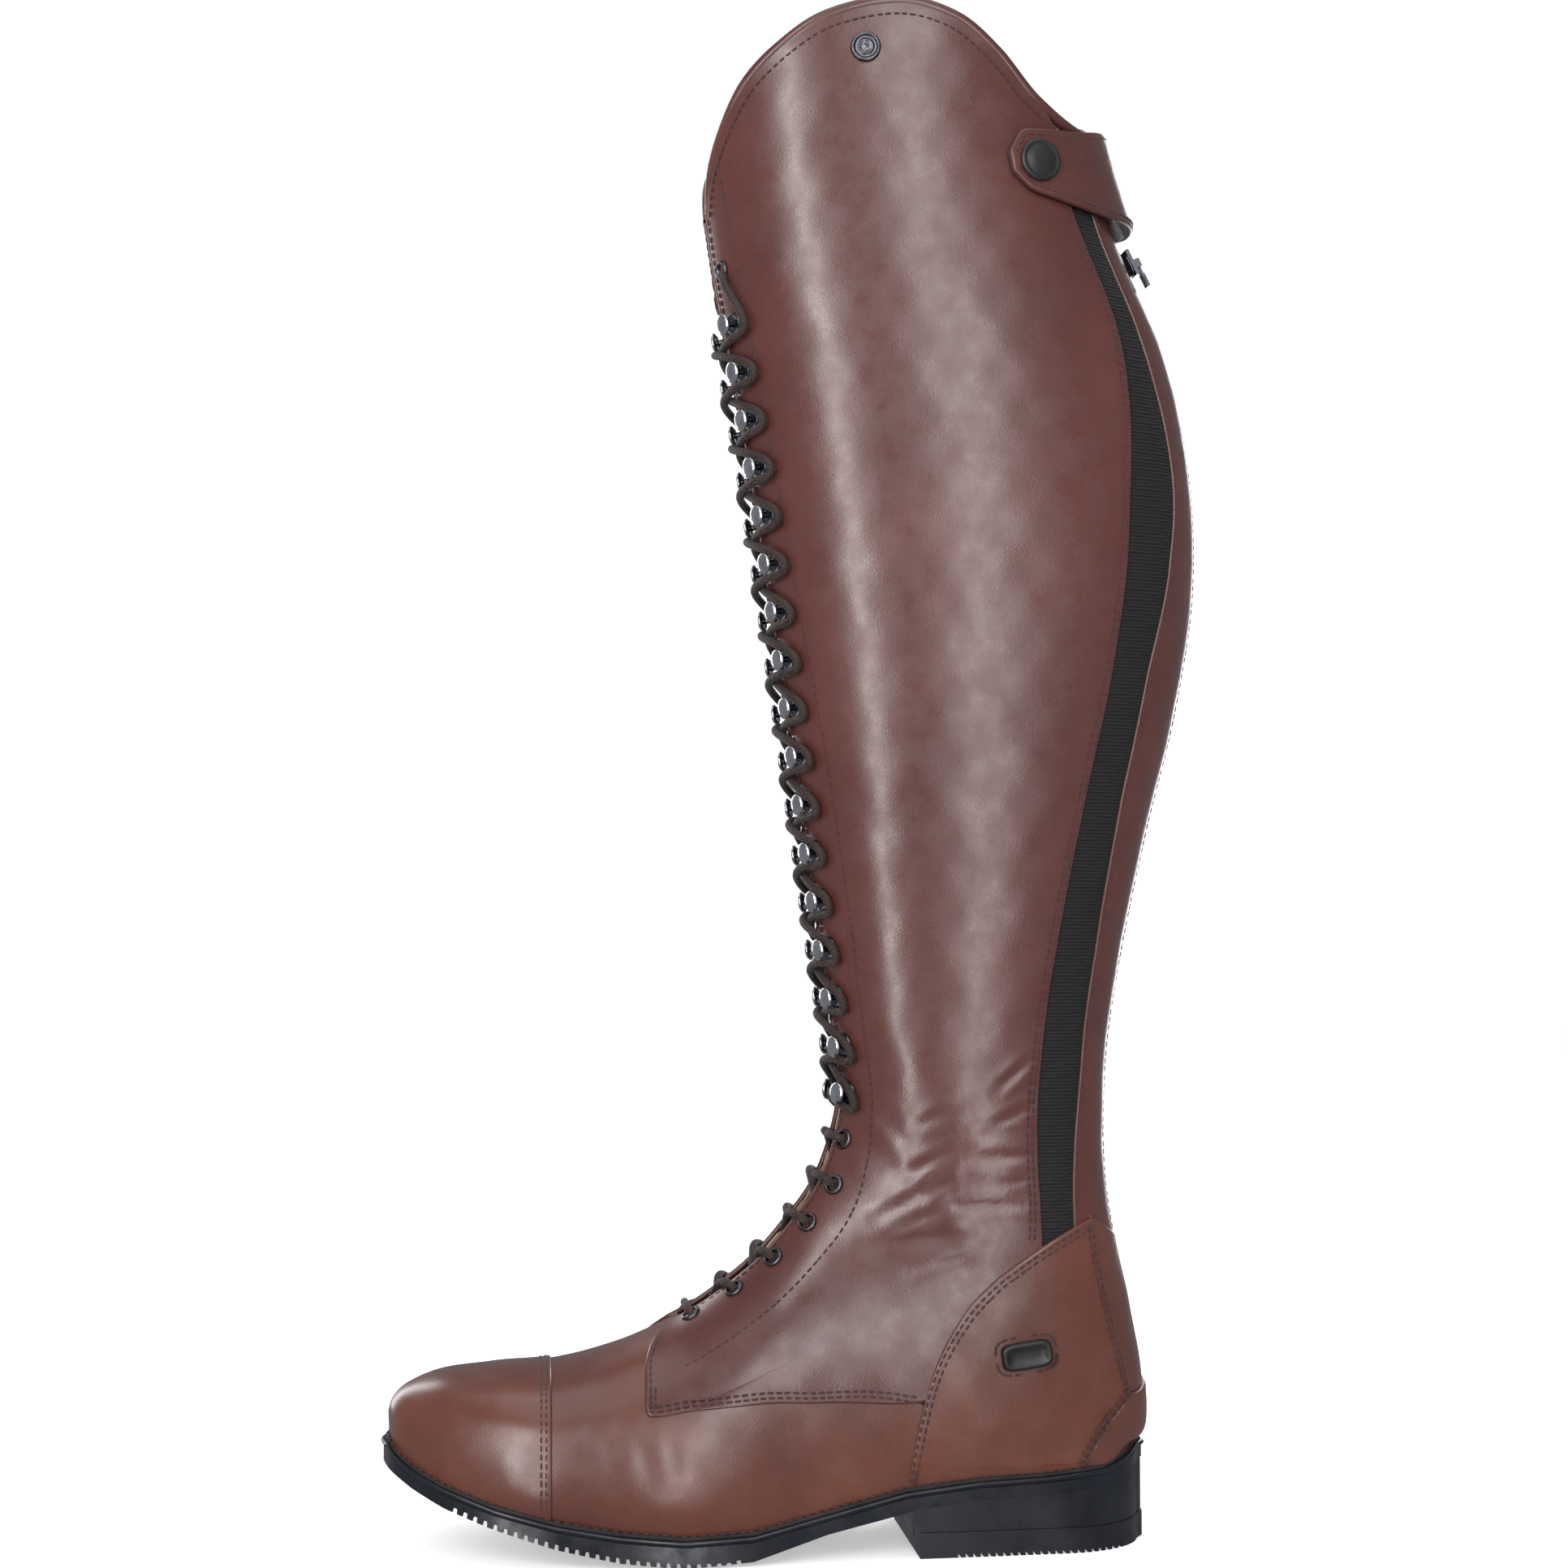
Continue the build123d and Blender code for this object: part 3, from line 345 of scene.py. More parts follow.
CREASES = [
    ((63, 148), (84, 158), 0.35, 1.8), ((58, 138), (84, 140), 0.45, 2.0), ((34, 132), (60, 144), 0.4, 1.8),
    ((26, 118), (52, 130), 0.5, 1.9), ((22, 108), (60, 112), 0.5, 2.0), ((48, 122), (78, 122), 0.4, 1.6),
    ((38, 98), (62, 104), 0.3, 2.0), ((68, 162), (82, 174), 0.3, 1.7), ((40, 150), (58, 158), 0.3, 1.7),
    ((30, 112), (50, 121), 0.35, 1.3), ((44, 128), (66, 133), 0.35, 1.3), ((56, 144), (76, 149), 0.3, 1.2),
    ((36, 124), (54, 137), 0.3, 1.2), ((62, 128), (80, 131), 0.3, 1.2),
    ((-70, 52), (-66, 32), 0.10, 2.6), ((-58, 50), (-54, 30), 0.10, 2.6), ((-47, 46), (-44, 28), 0.08, 2.6),
]


def panel(name, left, right, low, high, material, height=0.0, thick=1.7, edge=0.7,
          step=1.6, body="boot", folds=0, sides="lrbt", ripple=0.12):
    """Leather panel over the form surface, with rounded edges and gentle unevenness."""
    t, a = coons(left, right, low, high, step)
    base = skin(t, a)
    dl, dr, db, dt = grid_distances(base)
    reach = np.full(t.shape, 99.0)
    for key, d in zip("lrbt", (dl, dr, db, dt)):
        if key in sides:
            reach = np.minimum(reach, d)
    rise = height(t, a, dl, dr, db, dt) if callable(height) else np.full(t.shape, float(height))
    out = rise - rounded(reach, edge)
    out += ripple * (np.sin(base[..., 0] * 0.11 + base[..., 2] * 0.05) * np.sin(base[..., 2] * 0.083 + 1.0)
                     + 0.5 * np.sin(base[..., 0] * 0.31 + 2.0) * np.sin(base[..., 2] * 0.23))
    if folds:
        out += creases(base, folds)
    n = normal(t, a)
    return shell_mesh(name, base + n * out[..., None], base + n * (out - thick)[..., None], material, body)


def merge(name, pieces, material, body="boot"):
    """One object from many small (verts, faces) pieces."""
    verts, faces, count = [], [], 0
    for v, f in pieces:
        verts.append(v)
        faces += [tuple(i + count for i in face) for face in f]
        count += len(v)
    return mesh_from(name, np.concatenate(verts), faces, material, body)


def bead(length, width, height):
    """Small thread stitch: a rounded bar lying along X, its top at Z."""
    xs = np.array([-0.5, -0.36, 0.0, 0.36, 0.5]) * length
    scale = np.array([0.25, 0.85, 1.0, 0.85, 0.25])
    ring = np.radians([0, 60, 120, 180, 240, 300])
    verts = np.array([[x, math.cos(r) * width / 2 * s, math.sin(r) * height * s]
                      for x, s in zip(xs, scale) for r in ring])
    faces = []
    for i in range(4):
        for j in range(6):
            k = (j + 1) % 6
            faces.append((i * 6 + j, (i + 1) * 6 + j, (i + 1) * 6 + k, i * 6 + k))
    faces.append(tuple(range(5, -1, -1)))
    faces.append(tuple(range(24, 30)))
    return verts, faces


BEAD = bead(2.25, 0.85, 0.42)
STITCH_PITCH = 3.0


def stitch_row(path, offset=0.0, height=0.0, start=0.0, stop=1.0, lift=None, pitch=STITCH_PITCH):
    """Stitches along a path of (station, angle), moved sideways by an offset in mm."""
    s = np.linspace(start, stop, 600)
    marks = path(s)
    t, a = marks[:, 0], marks[:, 1]
    base = skin(t, a)
    n = normal(t, a)
    along = unit(np.gradient(base, axis=0))
    sideways = unit(np.cross(n, along))
    extra = 0.0 if lift is None else lift(t, a)
    rise = np.broadcast_to(height + extra, t.shape)
    line = base + sideways * offset + n * rise[:, None]
    run = distance_run(line)
    count = max(int(run[-1] / pitch), 1)
    out = []
    verts, faces = BEAD
    for k in range(count):
        d = (k + 0.5) * pitch
        i = min(int(np.searchsorted(run, d)), len(run) - 1)
        axes = np.stack([along[i], np.cross(n[i], along[i]), n[i]])
        jitter = 1.0 + 0.06 * rng.standard_normal()
        out.append((line[i] + (verts * [jitter, 1, 1]) @ axes, faces))
    return out


def ring_walls(loops, count):
    """Faces between neighbouring rings of points, each ring with count points."""
    return [(i * count + k, i * count + m, (i + 1) * count + m, (i + 1) * count + k)
            for i in range(loops - 1) for k, m in zip(range(count), [*range(1, count), 0])]


def lathe(profile, segments=40):
    """Turned shape from (radius, height) pairs, closed at the axis when a radius is 0."""
    turns = [2 * math.pi * k / segments for k in range(segments)]
    verts = [(r * math.cos(w), r * math.sin(w), h) for r, h in profile for w in turns]
    return np.array(verts), ring_walls(len(profile), segments)


def placed(shape, t, phi, height=0.0):
    """A small shape's (verts, faces) set on the surface, its Z along the normal."""
    verts, faces = shape
    n = normal(t, phi)
    across = unit(skin(t, phi + 0.5) - skin(t, phi - 0.5))
    up = np.cross(n, across)
    origin = lifted(t, phi, height)
    return origin + verts @ np.stack([across, up, n]), faces


# ---------------------------------------------------------------- materials
class Nodes:
    """Small helper around a material's node tree."""

    def __init__(self, name):
        self.mat = bpy.data.materials.new(name)
        self.mat.use_nodes = True
        self.tree = self.mat.node_tree
        self.shader = self.tree.nodes["Principled BSDF"]
        self.coords = self.tree.nodes.new("ShaderNodeTexCoord").outputs["Object"]

    def node(self, kind, **values):
        n = self.tree.nodes.new(kind)
        for key, value in values.items():
            setattr(n, key, value)
        return n

    def link(self, a, b):
        self.tree.links.new(a, b)

    def feed(self, socket, value):
        """Set a number or colour on a socket, or link an output to it."""
        if isinstance(value, tuple):
            socket.default_value = (*value, 1.0)
        elif isinstance(value, (int, float)):
            socket.default_value = value
        else:
            self.link(value, socket)

    def noise(self, scale, detail=4.0, rough=0.55):
        n = self.node("ShaderNodeTexNoise")
        n.inputs["Scale"].default_value = scale
        n.inputs["Detail"].default_value = detail
        n.inputs["Roughness"].default_value = rough
        self.link(self.coords, n.inputs["Vector"])
        return n.outputs["Fac"]

    def cells(self, scale):
        n = self.node("ShaderNodeTexVoronoi")
        n.inputs["Scale"].default_value = scale
        self.link(self.coords, n.inputs["Vector"])
        return n.outputs["Distance"]

    def waves(self, scale, direction="Z", distortion=0.0):
        n = self.node("ShaderNodeTexWave", bands_direction=direction)
        n.inputs["Scale"].default_value = scale
        n.inputs["Distortion"].default_value = distortion
        self.link(self.coords, n.inputs["Vector"])
        return n.outputs["Fac"]

    def ramp(self, fac, stops):
        r = self.node("ShaderNodeValToRGB")
        self.link(fac, r.inputs["Fac"])
        e = r.color_ramp.elements
        while len(e) < len(stops):
            e.new(0.5)
        for element, (pos, colour) in zip(e, stops):
            element.position = pos
            element.color = (*colour, 1.0)
        return r.outputs["Color"]

    def math(self, op, a, b):
        m = self.node("ShaderNodeMath", operation=op)
        for socket, value in zip(m.inputs, (a, b)):
            self.feed(socket, value)
        return m.outputs["Value"]

    def remap(self, fac, low, high, out_low, out_high):
        m = self.node("ShaderNodeMapRange")
        for key, value in zip(("From Min", "From Max", "To Min", "To Max"), (low, high, out_low, out_high)):
            m.inputs[key].default_value = value
        self.link(fac, m.inputs["Value"])
        return m.outputs["Result"]

    def mix(self, fac, a, b):
        m = self.node("ShaderNodeMix", data_type="RGBA")
        for socket, value in ((m.inputs["Factor"], fac), (m.inputs[6], a), (m.inputs[7], b)):
            self.feed(socket, value)
        return m.outputs[2]

    def bump(self, fac, strength, distance, under=None):
        b = self.node("ShaderNodeBump")
        b.inputs["Strength"].default_value = strength
        b.inputs["Distance"].default_value = distance
        self.link(fac, b.inputs["Height"])
        if under:
            self.link(under, b.inputs["Normal"])
        return b.outputs["Normal"]

    def finish(self, colour=None, rough=None, bump=None, **values):
        for socket, value in (("Base Color", colour), ("Roughness", rough), ("Normal", bump)):
            if value is not None:
                self.feed(self.shader.inputs[socket], value)
        for key, value in values.items():
            self.shader.inputs[key.replace("_", " ")].default_value = value
        return self.mat


def leather(name, dark, base, light, rough=0.29, coat=0.25, grain=0.22, scale=1500.0):
    m = Nodes(name)
    cloud = m.noise(16.0, 5.0, 0.6)
    patches = m.noise(55.0, 4.0, 0.6)
    colour = m.ramp(cloud, [(0.30, dark), (0.52, base), (0.75, light)])
    colour = m.mix(m.remap(patches, 0.35, 0.75, 0.0, 0.35), colour, dark)
    pores = m.cells(scale)
    wrinkle = m.noise(420.0, 6.0, 0.65)
    fine = m.bump(pores, grain, 0.00012)
    fine = m.bump(wrinkle, grain * 0.8, 0.00018, fine)
    fine = m.bump(m.noise(34.0, 3.0, 0.5), 0.12, 0.0016, fine)
    roughness = m.remap(m.noise(120.0, 5.0, 0.6), 0.3, 0.7, rough - 0.05, rough + 0.10)
    return m.finish(colour, roughness, fine, Coat_Weight=coat, Coat_Roughness=0.22, Specular_IOR_Level=0.45)


def rubber(name, dark, light, rough=0.42, grain=0.2):
    m = Nodes(name)
    colour = m.ramp(m.noise(60.0, 5.0, 0.6), [(0.35, dark), (0.7, light)])
    fine = m.bump(m.noise(1800.0, 3.0, 0.6), grain, 0.00012)
    fine = m.bump(m.noise(45.0, 3.0, 0.5), 0.08, 0.0008, fine)
    return m.finish(colour, m.remap(m.noise(140.0, 4.0), 0.3, 0.7, rough - 0.08, rough + 0.12), fine,
                    Specular_IOR_Level=0.5)


def metal(name, dark, light, rough=0.25, grain=0.05):
    m = Nodes(name)
    colour = m.ramp(m.noise(300.0, 4.0, 0.6), [(0.3, dark), (0.7, light)])
    fine = m.bump(m.noise(2600.0, 3.0), grain, 0.00005)
    return m.finish(colour, m.remap(m.noise(500.0, 4.0), 0.3, 0.7, rough - 0.06, rough + 0.10), fine,
                    Metallic=1.0)


def woven(name, dark, light, scale=900.0, rough=0.75, strength=0.6, sheen=0.3):
    m = Nodes(name)
    across = m.waves(scale, "DIAGONAL")
    up = m.waves(scale * 1.3, "Z", 1.5)
    weave = m.math("MULTIPLY", across, up)
    colour = m.ramp(m.math("ADD", m.math("MULTIPLY", weave, 0.6), m.math("MULTIPLY", m.noise(80.0), 0.5)),
                    [(0.2, dark), (0.8, light)])
    return m.finish(colour, rough, m.bump(weave, strength, 0.0003), Sheen_Weight=sheen,
                    Sheen_Roughness=0.5)


shaft_leather = leather("shaft_leather", (0.054, 0.016, 0.013), (0.068, 0.0205, 0.0165),
                        (0.082, 0.026, 0.021))
foot_leather = leather("foot_leather", (0.060, 0.017, 0.010), (0.088, 0.026, 0.016), (0.118, 0.038, 0.022),
                       rough=0.31, coat=0.3)
edge_leather = leather("edge_leather", (0.045, 0.014, 0.012), (0.075, 0.024, 0.020), (0.10, 0.034, 0.028),
                       rough=0.3)
lining_leather = leather("lining_leather", (0.16, 0.085, 0.05), (0.22, 0.12, 0.075), (0.28, 0.16, 0.10),
                         rough=0.55, coat=0.0)
tongue_leather = leather("tongue_leather", (0.030, 0.012, 0.010), (0.050, 0.018, 0.015), (0.07, 0.027, 0.022),
                         rough=0.5, coat=0.05)
thread = woven("thread", (0.030, 0.006, 0.008), (0.070, 0.016, 0.018), 2600.0, 0.6, 0.5, 0.1)
lace_cord = woven("lace_cord", (0.012, 0.005, 0.004), (0.045, 0.018, 0.013), 420.0, 0.62, 0.9, 0.05)
sole_rubber = rubber("sole_rubber", (0.003, 0.004, 0.007), (0.007, 0.009, 0.015), 0.30, 0.10)
heel_rubber = rubber("heel_rubber", (0.003, 0.004, 0.007), (0.008, 0.010, 0.016), 0.38, 0.22)
spur_rubber = rubber("spur_rubber", (0.006, 0.005, 0.005), (0.013, 0.011, 0.011), 0.36, 0.3)
welt_edge = rubber("welt_edge", (0.004, 0.003, 0.003), (0.020, 0.012, 0.010), 0.75, 0.9)
gunmetal = metal("gunmetal", (0.07, 0.07, 0.08), (0.16, 0.16, 0.18), 0.32)
bright = metal("bright_chrome", (0.50, 0.50, 0.53), (0.72, 0.72, 0.75), 0.14)
cap_black = rubber("cap_black", (0.007, 0.007, 0.008), (0.015, 0.015, 0.017), 0.38, 0.15)
zip_nylon = woven("zip_nylon", (0.02, 0.01, 0.009), (0.05, 0.025, 0.02), 1400.0, 0.5, 0.4, 0.1)
zip_tape = woven("zip_tape", (0.012, 0.007, 0.007), (0.035, 0.018, 0.016), 1500.0, 0.8)
footbed_cloth = woven("footbed_cloth", (0.03, 0.02, 0.018), (0.09, 0.06, 0.05), 700.0)
board = leather("board", (0.25, 0.17, 0.10), (0.34, 0.24, 0.15), (0.42, 0.31, 0.2), 0.7, 0.0)


def elastic_material():
    m = Nodes("elastic")
    ribs = m.waves(260.0, "Z", 0.3)
    yarn = m.noise(1600.0, 3.0, 0.7)
    colour = m.ramp(m.math("ADD", m.math("MULTIPLY", ribs, 0.6), m.math("MULTIPLY", yarn, 0.4)),
                    [(0.2, (0.0015, 0.0015, 0.002)), (0.9, (0.010, 0.010, 0.012))])
    fine = m.bump(ribs, 0.7, 0.0005)
    fine = m.bump(yarn, 0.5, 0.0003, fine)
    return m.finish(colour, 0.72, fine, Sheen_Weight=0.06, Sheen_Roughness=0.4)


elastic = elastic_material()

# ---------------------------------------------------------------- upper
STEP = 1.5


def side_word(side):
    return "lateral" if side < 0 else "medial"


def show(obj, slot_name, *cad):
    if cad:
        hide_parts(*cad)
    return obj


toe_side = [(0.02, 105), (0.35, 105), (1, 105), (2, 105), (3, 106), (4, 107), (4.93, 107)]
toe = panel("toe_cap_skin", *mirrored(toe_side), across(0.02, 105), across(4.93, 107), foot_leather,
            height=lambda t, a, dl, dr, db, dt: 0.15 + 0.75 * np.exp(-dt / 30.0), step=STEP,
            sides="t", edge=0.8)
show(toe, "brown_leather", "toe_cap")

VAMP_SIDE = [(4.7, 107), (6, 107), (7, 107), (8, 107), (9, 107), (10.4, 109)]
vamp_back = [(10.4, 109), (10.9, 94), (9.7, 77), (8.7, 67), (7.7, 57), (7.2, 40), (7.1, 20), (7.1, 0)]
vamp_high = edge_line([(t, -a) for t, a in vamp_back] + [(t, a) for t, a in vamp_back[-2::-1]])
vamp = panel("vamp_skin", *mirrored(VAMP_SIDE), across(4.7, 107), vamp_high, foot_leather,
             height=-0.1, step=STEP, sides="", folds=-1)
show(vamp, "brown_leather", "vamp")


def rising_from_low(gain):
    """Panel height that grows over the 9 mm next to the low edge."""
    return lambda t, a, dl, dr, db, dt: 0.2 + gain * np.clip(db / 9.0, 0, 1)


def quarter_height(t, a, dl, dr, db, dt):
    over_vamp = np.exp(-np.maximum(db, 0) / 14.0) * (t < 12)
    at_facing = 0.35 * np.exp(-dl / 9.0)
    top_rim = 0.5 * np.exp(-dt / 5.0)
    return 0.95 * over_vamp + at_facing + top_rim


arcs, seams, lines = {}, {}, {}
for side in (-1, 1):
    facing = edge_line(FACING_EDGE, side)
    if side < 0:
        low = edge_line(QUARTER_LOW[:-1] + [(10.3, 87), (11.6, 92), (12.8, 98), (14.2, 104),
                                            (15.0, 106)], side)
        back = edge_line([(15.0, 106), (15.3, 100)] + GORE_FRONT[1:], side)
        top = edge_line(TOP_LATERAL[:-2] + [(27.75, 132)], side)
    else:
        low = edge_line(QUARTER_LOW[:-1] + [(10.3, 87), (11.6, 92), (12.8, 100), (14.4, 112), (15.6, 122),
                                            (16.9, 133)], side)
        back = edge_line(MEDIAL_BACK, side)
        top = edge_line(TOP_MEDIAL[:-1] + [(27.87, 160)], side)
    obj = panel("shaft_skin_" + side_word(side), facing, back, low, top, shaft_leather,
                height=quarter_height, step=STEP, folds=side, edge=0.9)
    show(obj, "brown_leather", "shaft_panel_" + side_word(side))

    arc = side_line(COUNTER_ARC, side, (10.05, 106))
    arcs[side] = arc
    seam = side_line(COUNTER_SEAM, side, (14.7, 143))
    seams[side] = seam
    line = side_line(FOXING_LINE, side, (12.6, 125))
    lines[side] = line
    counter_low = edge_line([(10.0, 108.6), (11, 111.5), (12, 119.5), (12.5, 126)], side)
    back = joined(line, seam, line.length / (line.length + seam.length))
    obj = panel("counter_skin_" + side_word(side), part_of(arc, 0, 0.55), back, counter_low,
                part_of(arc, 0.55, 1), foot_leather,
                height=rising_from_low(1.0), step=STEP, thick=2.4, edge=0.9)
    show(obj, "brown_leather", "counter_" + side_word(side))

RIB_PITCH = 1.9
gore_back = edge_line([(15.9, 117)] + GORE_BACK, -1)
gore = panel("elastic_skin", edge_line([(14.9, 95)] + GORE_FRONT, -1), gore_back,
             straight((14.9, -95), (15.9, -117)), straight((27.75, -132), (27.85, -146)), elastic,
             height=lambda t, a, dl, dr, db, dt: -0.75 - 0.25 * np.cos(db * 2 * math.pi / RIB_PITCH),
             step=0.6, sides="", thick=1.0)
show(gore, "elastic", "elastic_gore")

ZIP_EDGE = [(17.1, 176), (20, 176), (24, 176), (27.9, 176)]
strip = panel("back_strip_skin_lateral", gore_back, edge_line([(15.5, 178)] + ZIP_EDGE, -1),
              straight((15.9, -117), (15.5, -178)),
              straight((27.85, -146), (27.9, -176)), shaft_leather, height=0.0, step=STEP, sides="lr")
show(strip, "brown_leather", "back_strip_lateral")
strip = panel("back_strip_skin_medial", edge_line(MEDIAL_BACK, 1), edge_line(ZIP_EDGE, 1),
              straight((16.9, 133), (17.1, 176)), straight((27.87, 160), (27.9, 176)), shaft_leather,
              height=0.0, step=STEP, sides="r")
show(strip, "brown_leather", "back_strip_medial")


def past_back(edge):
    """The same edge with its angles on past 180 instead of starting again at +180."""
    def at(s):
        rows = edge(s)
        return np.stack([rows[..., 0], rows[..., 1] - 360.0], axis=-1)
    at.length = edge.length
    return at


corner_left, corner_right = seams[-1](0.0), past_back(seams[1])(0.0)
stay_low = edge_line([tuple(corner_left), (14.72, -162), (14.8, -180), (14.72, -198), tuple(corner_right)])
stay_high = edge_line([(16.9, -132.5), (17.02, -156), (17.08, -180), (17.02, -204), (16.9, -227.5)])
stay = panel("back_stay_skin", seams[-1], past_back(seams[1]), stay_low, stay_high, foot_leather,
             height=0.45, step=STEP, sides="t", thick=2.0)
show(stay, "brown_leather", "back_stay")
low_left, low_right = lines[-1](0.0), past_back(lines[1])(0.0)
end_left, end_right = lines[-1](1.0), past_back(lines[1])(1.0)
fox_top = edge_line([tuple(end_left), (14.85, -165), (14.97, -180), (14.85, -195), tuple(end_right)])
fox_low = edge_line([tuple(low_left), (12.9, -137), (13.35, -154), (13.9, -180), (13.35, -206), (12.9, -223),
                     tuple(low_right)])
foxing = panel("heel_foxing_skin", lines[-1], past_back(lines[1]), fox_low, fox_top, foot_leather,
               height=rising_from_low(1.5),
               step=STEP, sides="lrt", thick=3.2)
show(foxing, "brown_leather", "heel_foxing")

tongue_side = [(6.5, 30), (8, 32), (10, 34), (13, 30), (18, 28), (24, 24), (26.9, 22)]
tongue = panel("tongue_skin", *mirrored(tongue_side), across(6.5, 30), across(26.9, 22), tongue_leather,
               height=-6.2, step=STEP, thick=1.6, ripple=0.35)
show(tongue, "dark_leather", "tongue")

for side in (-1, 1):
    rows = TOP_LATERAL if side < 0 else TOP_MEDIAL
    low = edge_line([(7.2, 12), (9, 50), (11, 108), (12.7, 126), (13.9, 170), (14.1, 176)], side)
    inner_back = edge_line([(14.1, 176), (16, 176), (18, 176), (21, 175), (24, 175), (27.9, 175)], side)
    inner_front = edge_line([(7.2, 12), (9.5, 17), (12.0, 15), (16, 9.5), (20, 8.5), (26.65, 6.5)], side)
    obj = panel("shaft_lining_skin_" + side_word(side), inner_front, inner_back, low,
                edge_line(rows[:-1] + [(27.9, 175)], side), lining_leather, height=-2.2, thick=1.1,
                step=2.6, sides="t")
    show(obj, "lining_leather", "shaft_lining_" + side_word(side))
lining_side = [(0.5, 105), (1, 105), (2, 105), (4, 107), (6, 107), (8, 107), (10.1, 107.8)]
obj = panel("vamp_lining_skin", *mirrored(lining_side), across(0.5, 105), vamp_high, lining_leather,
            height=-2.2, thick=1.1, step=3.0, sides="")
show(obj, "lining_leather", "vamp_lining")


def tube(name, points, radius, material, segments=12):
    """Round tube along points (mm)."""
    points = np.asarray(points)
    along = unit(np.gradient(points, axis=0))
    verts = []
    for p, d in zip(points, along):
        a = unit(np.cross(d, Y_AXIS))
        b = np.cross(d, a)
        for k in range(segments):
            w = 2 * math.pi * k / segments
            verts.append(p + a * math.cos(w) * radius + b * math.sin(w) * radius)
    faces = ring_walls(len(points), segments)
    faces.append(tuple(range(segments)))
    faces.append(tuple(range((len(points) - 1) * segments, len(points) * segments))[::-1])
    return mesh_from(name, verts, faces, material)


for side in (-1, 1):
    rows = TOP_LATERAL if side < 0 else TOP_MEDIAL
    marks = edge_line(rows, side)(np.linspace(0, 1, 160))
    rolled = lifted(marks[:, 0] + 0.012, marks[:, 1], np.full(160, -1.5))
    obj = tube("top_binding_skin_" + side_word(side), rolled, 2.2, edge_leather)
    show(obj, "brown_leather", "top_binding_" + side_word(side))

# ---------------------------------------------------------------- stitching
rows = []
for side in (-1, 1):
    facing = edge_line(FACING_EDGE, side)
    rows += stitch_row(facing, 2.0 * side, 0.35)
    rows += stitch_row(edge_line(FACING_STITCH, side), 0.0, 0.05)
    top_rows = TOP_LATERAL if side < 0 else TOP_MEDIAL
    rows += stitch_row(edge_line(top_rows, side), 4.6 * side, 0.25)
    for inset in (1.8, 3.6):
        rows += stitch_row(edge_line(QUARTER_LOW[3:], side), -inset * side, 0.85)
        rows += stitch_row(arcs[side], inset * side, 1.2)
        rows += stitch_row(seams[side], -inset * side, 1.2)
        rows += stitch_row(lines[side], -(inset - 1.0) * side, 1.9)
    rows += stitch_row(edge_line(QUARTER_LOW[1:5], side), -2.0 * side, 0.85)
for inset in (1.0, 2.8):
    rows += stitch_row(edge_line(GORE_FRONT, -1), inset, 0.0)
rows += stitch_row(edge_line(GORE_BACK, -1), -1.4, 0.0)
for side in (-1, 1):
    rows += stitch_row(edge_line(ZIP_EDGE, side), -2.2 * side, 0.0)
rows += stitch_row(edge_line(MEDIAL_BACK, 1), 0.8, 0.0)
for inset in (1.8, 3.6):
    rows += stitch_row(across(4.93, 104), inset, 0.75)
show(merge("stitching", rows, thread), "lace_cord")

# ---------------------------------------------------------------- fittings
HOOK_BASE = lathe([(0, 0.0), (4.2, 0.0), (4.3, 0.35), (4.15, 0.85), (3.7, 1.1), (3.1, 0.95), (2.6, 0.7),
                   (1.9, 0.75), (1.3, 1.3), (0, 1.3)])
HOOK_STEM = lathe([(0, 0.6), (1.5, 0.6), (1.15, 1.6), (1.05, 3.4), (1.3, 4.6), (0, 4.7)], 20)
HOOK_HEAD = lathe([(0, 4.4), (2.6, 4.4), (3.6, 4.65), (3.95, 5.1), (3.85, 5.6), (3.3, 6.05), (2.2, 6.4),
                   (1.0, 6.55), (0, 6.58)])
EYELET = lathe([(2.1, -3.6), (2.1, 0.3), (2.3, 0.8), (2.9, 1.0), (3.5, 0.75), (3.7, 0.3), (3.6, 0.0)])


def station_at_height(z, angle):
    low, high = 11.0, 28.0
    for _ in range(40):
        mid = (low + high) / 2
        if skin(mid, angle)[2] < z:
            low = mid
        else:
            high = mid
    return (low + high) / 2


def hook_spots():
    spots = []
    for i in range(HOOK_COUNT):
        s = i / (HOOK_COUNT - 1)
        angle = 18.5 - 3.0 * s
        spots.append((station_at_height(LOWEST_HOOK_Z + HOOK_RISE * s, angle), angle))
    return spots


HOOKS = hook_spots()
for side in (-1, 1):
    bases = [placed(HOOK_BASE, t, side * a, 0.3) for t, a in HOOKS]
    stems = [placed(HOOK_STEM, t, side * a, 0.3) for t, a in HOOKS]
    heads = [placed(HOOK_HEAD, t, side * a, 0.3) for t, a in HOOKS]
    word = side_word(side)
    show(merge("hook_bases_" + word, bases + stems, gunmetal), "dark_metal", "speed_hooks_" + word)
    show(merge("hook_heads_" + word, heads, bright), "dark_metal", "speed_hooks_" + word)
    rings = [placed(EYELET, t, side * a, 0.35) for t, a in EYELETS + [TOP_EYELET]]
    show(merge("eyelet_rings_" + word, rings, gunmetal), "dark_metal", "eyelets_" + word)


def facing_angle(t):
    rows = np.array(FACING_EDGE)
    return float(np.interp(t, rows[:, 0], rows[:, 1]))


LACE_UNDER = -5.4


